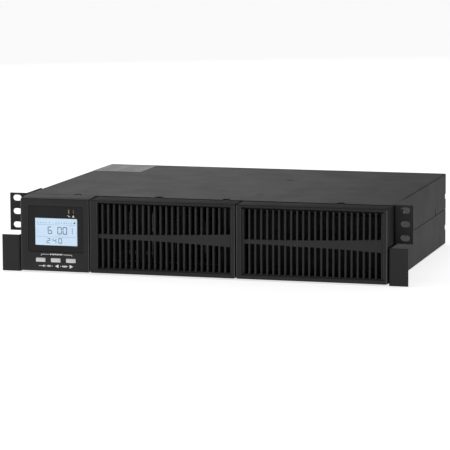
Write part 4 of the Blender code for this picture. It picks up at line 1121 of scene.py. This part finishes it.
def batteries():
    """Two batteries with a plain label on each lid, and a blade and its sleeve on each terminal."""
    body = "battery_pack"
    papers, bars, sleeves = [], [], []
    for node in ("battery_front", "battery_rear"):
        low, high = extent(node)
        y0, lid = low.y + TERMINAL_ROOM, high.z - LID_HEIGHT
        middle = (y0 + high.y) / 2
        meshes = [box((low.x + 0.5, y0 + 0.5, low.z), (high.x - 0.5, high.y - 0.5, lid + 0.4), 1.4, 3),
                  box((low.x, y0, lid), (high.x, high.y, high.z), 1.0, 3),
                  box((low.x + 22, middle - 9, high.z - 0.2), (high.x - 22, middle + 9, high.z + 0.5))]
        tabs = []
        for x in (low.x + TERMINAL_INSET, high.x - TERMINAL_INSET):
            meshes.append(box((x - 5.5, y0 - 0.9, 45.5), (x + 5.5, y0 + 2.0, 55.0), 0.5))
            tabs.append(plate([rounded(x - 3.1, x + 3.1, 50.0, 50.8, 0.1, 1)], low.y, y0 + 0.6, 0.1, 1))
            sleeves.append(bar(x, 50.4, 4.2, 1.8, low.y + 0.3, low.y + 3.4, 0.7))
        piece(f"{node}_case", meshes, "battery_case", node, body)
        piece(f"{node}_tabs", tabs, "nickel", body=body)
        paper = rounded(94.0, 168.0, middle - 7.5, middle + 7.5, 1.0)
        papers.append(plate([paper], high.z + 0.4, high.z + 0.62, 0.04, 1, lying=True))
        places = [(98.0, 148.0 - 9.0 * row, 3.8 * row - 4.6, 3.8 * row - 3.2) for row in range(3)]
        for x0, x1, near, far in [*places, (154.0, 163.0, -4.6, 4.4)]:
            bars.append(box((x0, middle + near, high.z + 0.55), (x1, middle + far, high.z + 0.66), 0.02, 1))
    piece("battery_labels", papers, "label", body=body)
    piece("battery_label_print", bars, "label_ink", body=body)
    piece("battery_tab_sleeves", sleeves, "grey_connector", body=body)


def lead(points, steps=5):
    """A sheathed lead through points in millimetres, with its corners rounded off."""
    points = [Vector(point) for point in points]
    route = points[:1]
    for before, here, after in zip(points, points[1:], points[2:]):
        reach = min(LEAD_BEND, (here - before).length / 2, (after - here).length / 2)
        start = here + (before - here).normalized() * reach
        end = here + (after - here).normalized() * reach
        for step in range(steps + 1):
            t = step / steps
            route.append(start * (1 - t) ** 2 + here * (2 * t * (1 - t)) + end * t ** 2)
    return tube([spot(*point) for point in [*route, points[-1]]], LEAD_RADIUS, 3)


def battery_leads():
    """Leads from the battery tabs, past the sides of the batteries, to the plug."""
    red = [(66.6, 8.2, 50.4), (60.0, 8.2, 50.4), (51.6, 8.4, 55.0), (51.6, 40.0, 60.0), (51.6, 180.0, 60.0),
           (51.6, 210.3, 52.0), (70.0, 210.3, 39.0), (121.5, 210.3, 38.5)]
    black = [(195.4, 108.6, 50.4), (203.0, 108.6, 50.4), (210.4, 109.5, 55.0), (210.4, 140.0, 60.0),
             (210.4, 180.0, 60.0), (210.4, 210.3, 52.0), (190.0, 210.3, 39.0), (140.5, 210.3, 38.5)]
    bridge = [(195.4, 8.2, 50.4), (203.0, 8.2, 50.4), (210.4, 8.4, 55.0), (210.4, 30.0, 58.0),
              (210.4, 96.0, 58.0), (206.0, 108.7, 58.0), (150.0, 108.7, 60.0), (90.0, 108.7, 60.0),
              (62.0, 108.6, 56.0), (66.6, 108.6, 50.4)]
    piece("battery_lead_red", lead(red), "red_lead", body="battery_pack")
    piece("battery_leads_black", [lead(black), lead(bridge)], "rear_plastic", body="battery_pack")


def tray_handle():
    """Wire bail on the front wall of the tray, with a foot under each end."""
    low, high, x, z = placed("tray_handle")
    radius = (high.z - low.z) / 2
    half = (high.x - low.x) / 2 - radius
    bend = 6.0
    y = low.y + radius + bend
    route = [(x - half, high.y), *arc(x - half + bend, y, bend, 180, 270, 8),
             *arc(x + half - bend, y, bend, 270, 360, 8), (x + half, high.y)]
    foot = [(2.5, 0.0), (4.6, 0.0), (4.6, 0.7), (3.6, 1.6), (2.5, 1.8)]
    feet = [turned(spot(x + side * half, high.y - 0.1, z), (0, -1, 0), foot, 24, True) for side in SIDES]
    wire = tube([spot(px, py, z) for px, py in route], radius, 4)
    piece("tray_wire_handle", [wire, *feet], "zinc_steel", "tray_handle", "battery_pack")


# Power section
TURNS = 34
TURN_STEPS = 12
CORE_HALF = 5.6
CORE_EDGE = 1.0
WIRE_REACH = 6.6
SHEETS = 20
SHEET_GAP = 0.25


def toroid(node):
    """A powder core with one layer of enamelled wire wound round it."""
    low, high, x, z = placed(node)
    centre = spot(x, (low.y + high.y) / 2, z)
    major = (high.x - low.x) / 2 - 8.5
    flat = CORE_HALF - CORE_EDGE
    section = [(major + a * CORE_HALF, b * flat) if upright else (major + a * flat, b * CORE_HALF)
               for a, b, upright in ((-1, -1, 1), (-1, -1, 0), (1, -1, 0), (1, -1, 1), (1, 1, 1), (1, 1, 0),
                                     (-1, 1, 0), (-1, 1, 1))]
    piece(f"{node}_core", turned(centre, (0, 0, 1), section, 48, True), "ferrite_core", node)
    route = []
    for step in range(TURNS * TURN_STEPS + 1):
        around = radians(320) * step / (TURNS * TURN_STEPS)
        angle = tau * step / TURN_STEPS
        squeeze = (abs(cos(angle)) ** 4 + abs(sin(angle)) ** 4) ** 0.25
        radius = major + WIRE_REACH * cos(angle) / squeeze
        lift = WIRE_REACH * sin(angle) / squeeze
        route.append(centre + Vector((radius * cos(around), radius * sin(around), lift)) * MM)
    piece(f"{node}_wire", tube(route, 0.85, 1), "copper_winding")


def capacitor(node):
    """A sleeved can with a groove near its foot, and a scored vent in its lid."""
    low, high = extent(node)
    x, y = (low.x + high.x) / 2, (low.y + high.y) / 2
    radius, tall = (high.x - low.x) / 2, high.z - low.z
    can = [(0.05, 0.0), (radius - 1.6, 0.0), (radius, 1.4), (radius, 3.6), (radius - 0.8, 4.4), (radius, 5.2),
           (radius, tall - 1.2), (radius - 0.5, tall - 0.3), (radius - 1.4, tall), (radius - 2.2, tall - 0.2),
           (0.05, tall - 0.2)]
    piece(f"{node}_sleeve", turned(spot(x, y, low.z), (0, 0, 1), can, 36), "capacitor_sleeve", node)
    disc = [(0.05, 0.0), (radius - 3.0, 0.0), (radius - 3.0, 0.4), (0.05, 0.4)]
    scores = [box((x - a, y - b, high.z - 0.25), (x + a, y + b, high.z + 1), 0.02, 1)
              for a, b in ((9, 0.3), (0.3, 9))]
    lid = carved(turned(spot(x, y, high.z - 0.5), (0, 0, 1), disc, 36), scores)
    piece(f"{node}_vent", lid, "aluminium_fins")


def transformer():
    low, high = extent("transformer")
    first, last = low.y + 9.0, high.y - 9.0
    pitch = (last - first) / SHEETS
    starts = [first + pitch * number for number in range(SHEETS)]
    sheets = [box((low.x, y, low.z), (high.x, y + pitch - SHEET_GAP, high.z), 0.12, 1) for y in starts]
    piece("transformer_laminations", sheets, "ferrite_core", "transformer")
    wound = box((low.x + 5, low.y, low.z + 3.7), (high.x - 5, high.y, high.z - 6), 4.5, 4)
    piece("transformer_winding", wound, "copper_winding")


def relay(node):
    low, high = extent(node)
    meshes = [box(low, (high.x, high.y, low.z + 4.0), 0.4),
              box((low.x + 0.4, low.y + 0.4, low.z + 3.8), (high.x - 0.4, high.y - 0.4, high.z), 0.9, 3)]
    piece(f"{node}_case", meshes, "battery_case", node)


for build in (display_module, bezels, brackets, chassis, fan, outlets, inlet, breaker, usb, serial, surge,
              epo, card_slot, panel_screws, batteries, battery_leads, tray_handle):
    build()
for choke in ("inductor_boost", "inductor_output"):
    toroid(choke)
for number in (1, 2, 3, 4):
    capacitor(f"bus_capacitor_{number}")
transformer()
relay("relay_input")
relay("relay_bypass")
paint_cad("black_paint", "battery_tray", edge=0.2)
paint_cad("grey_connector", "battery_plug", "battery_socket")
paint_cad("circuit_board", "main_board", "comm_board", "display_board", edge=0.1)
paint_cad("aluminium_fins", "heat_sink_left", "heat_sink_right", edge=0.2)
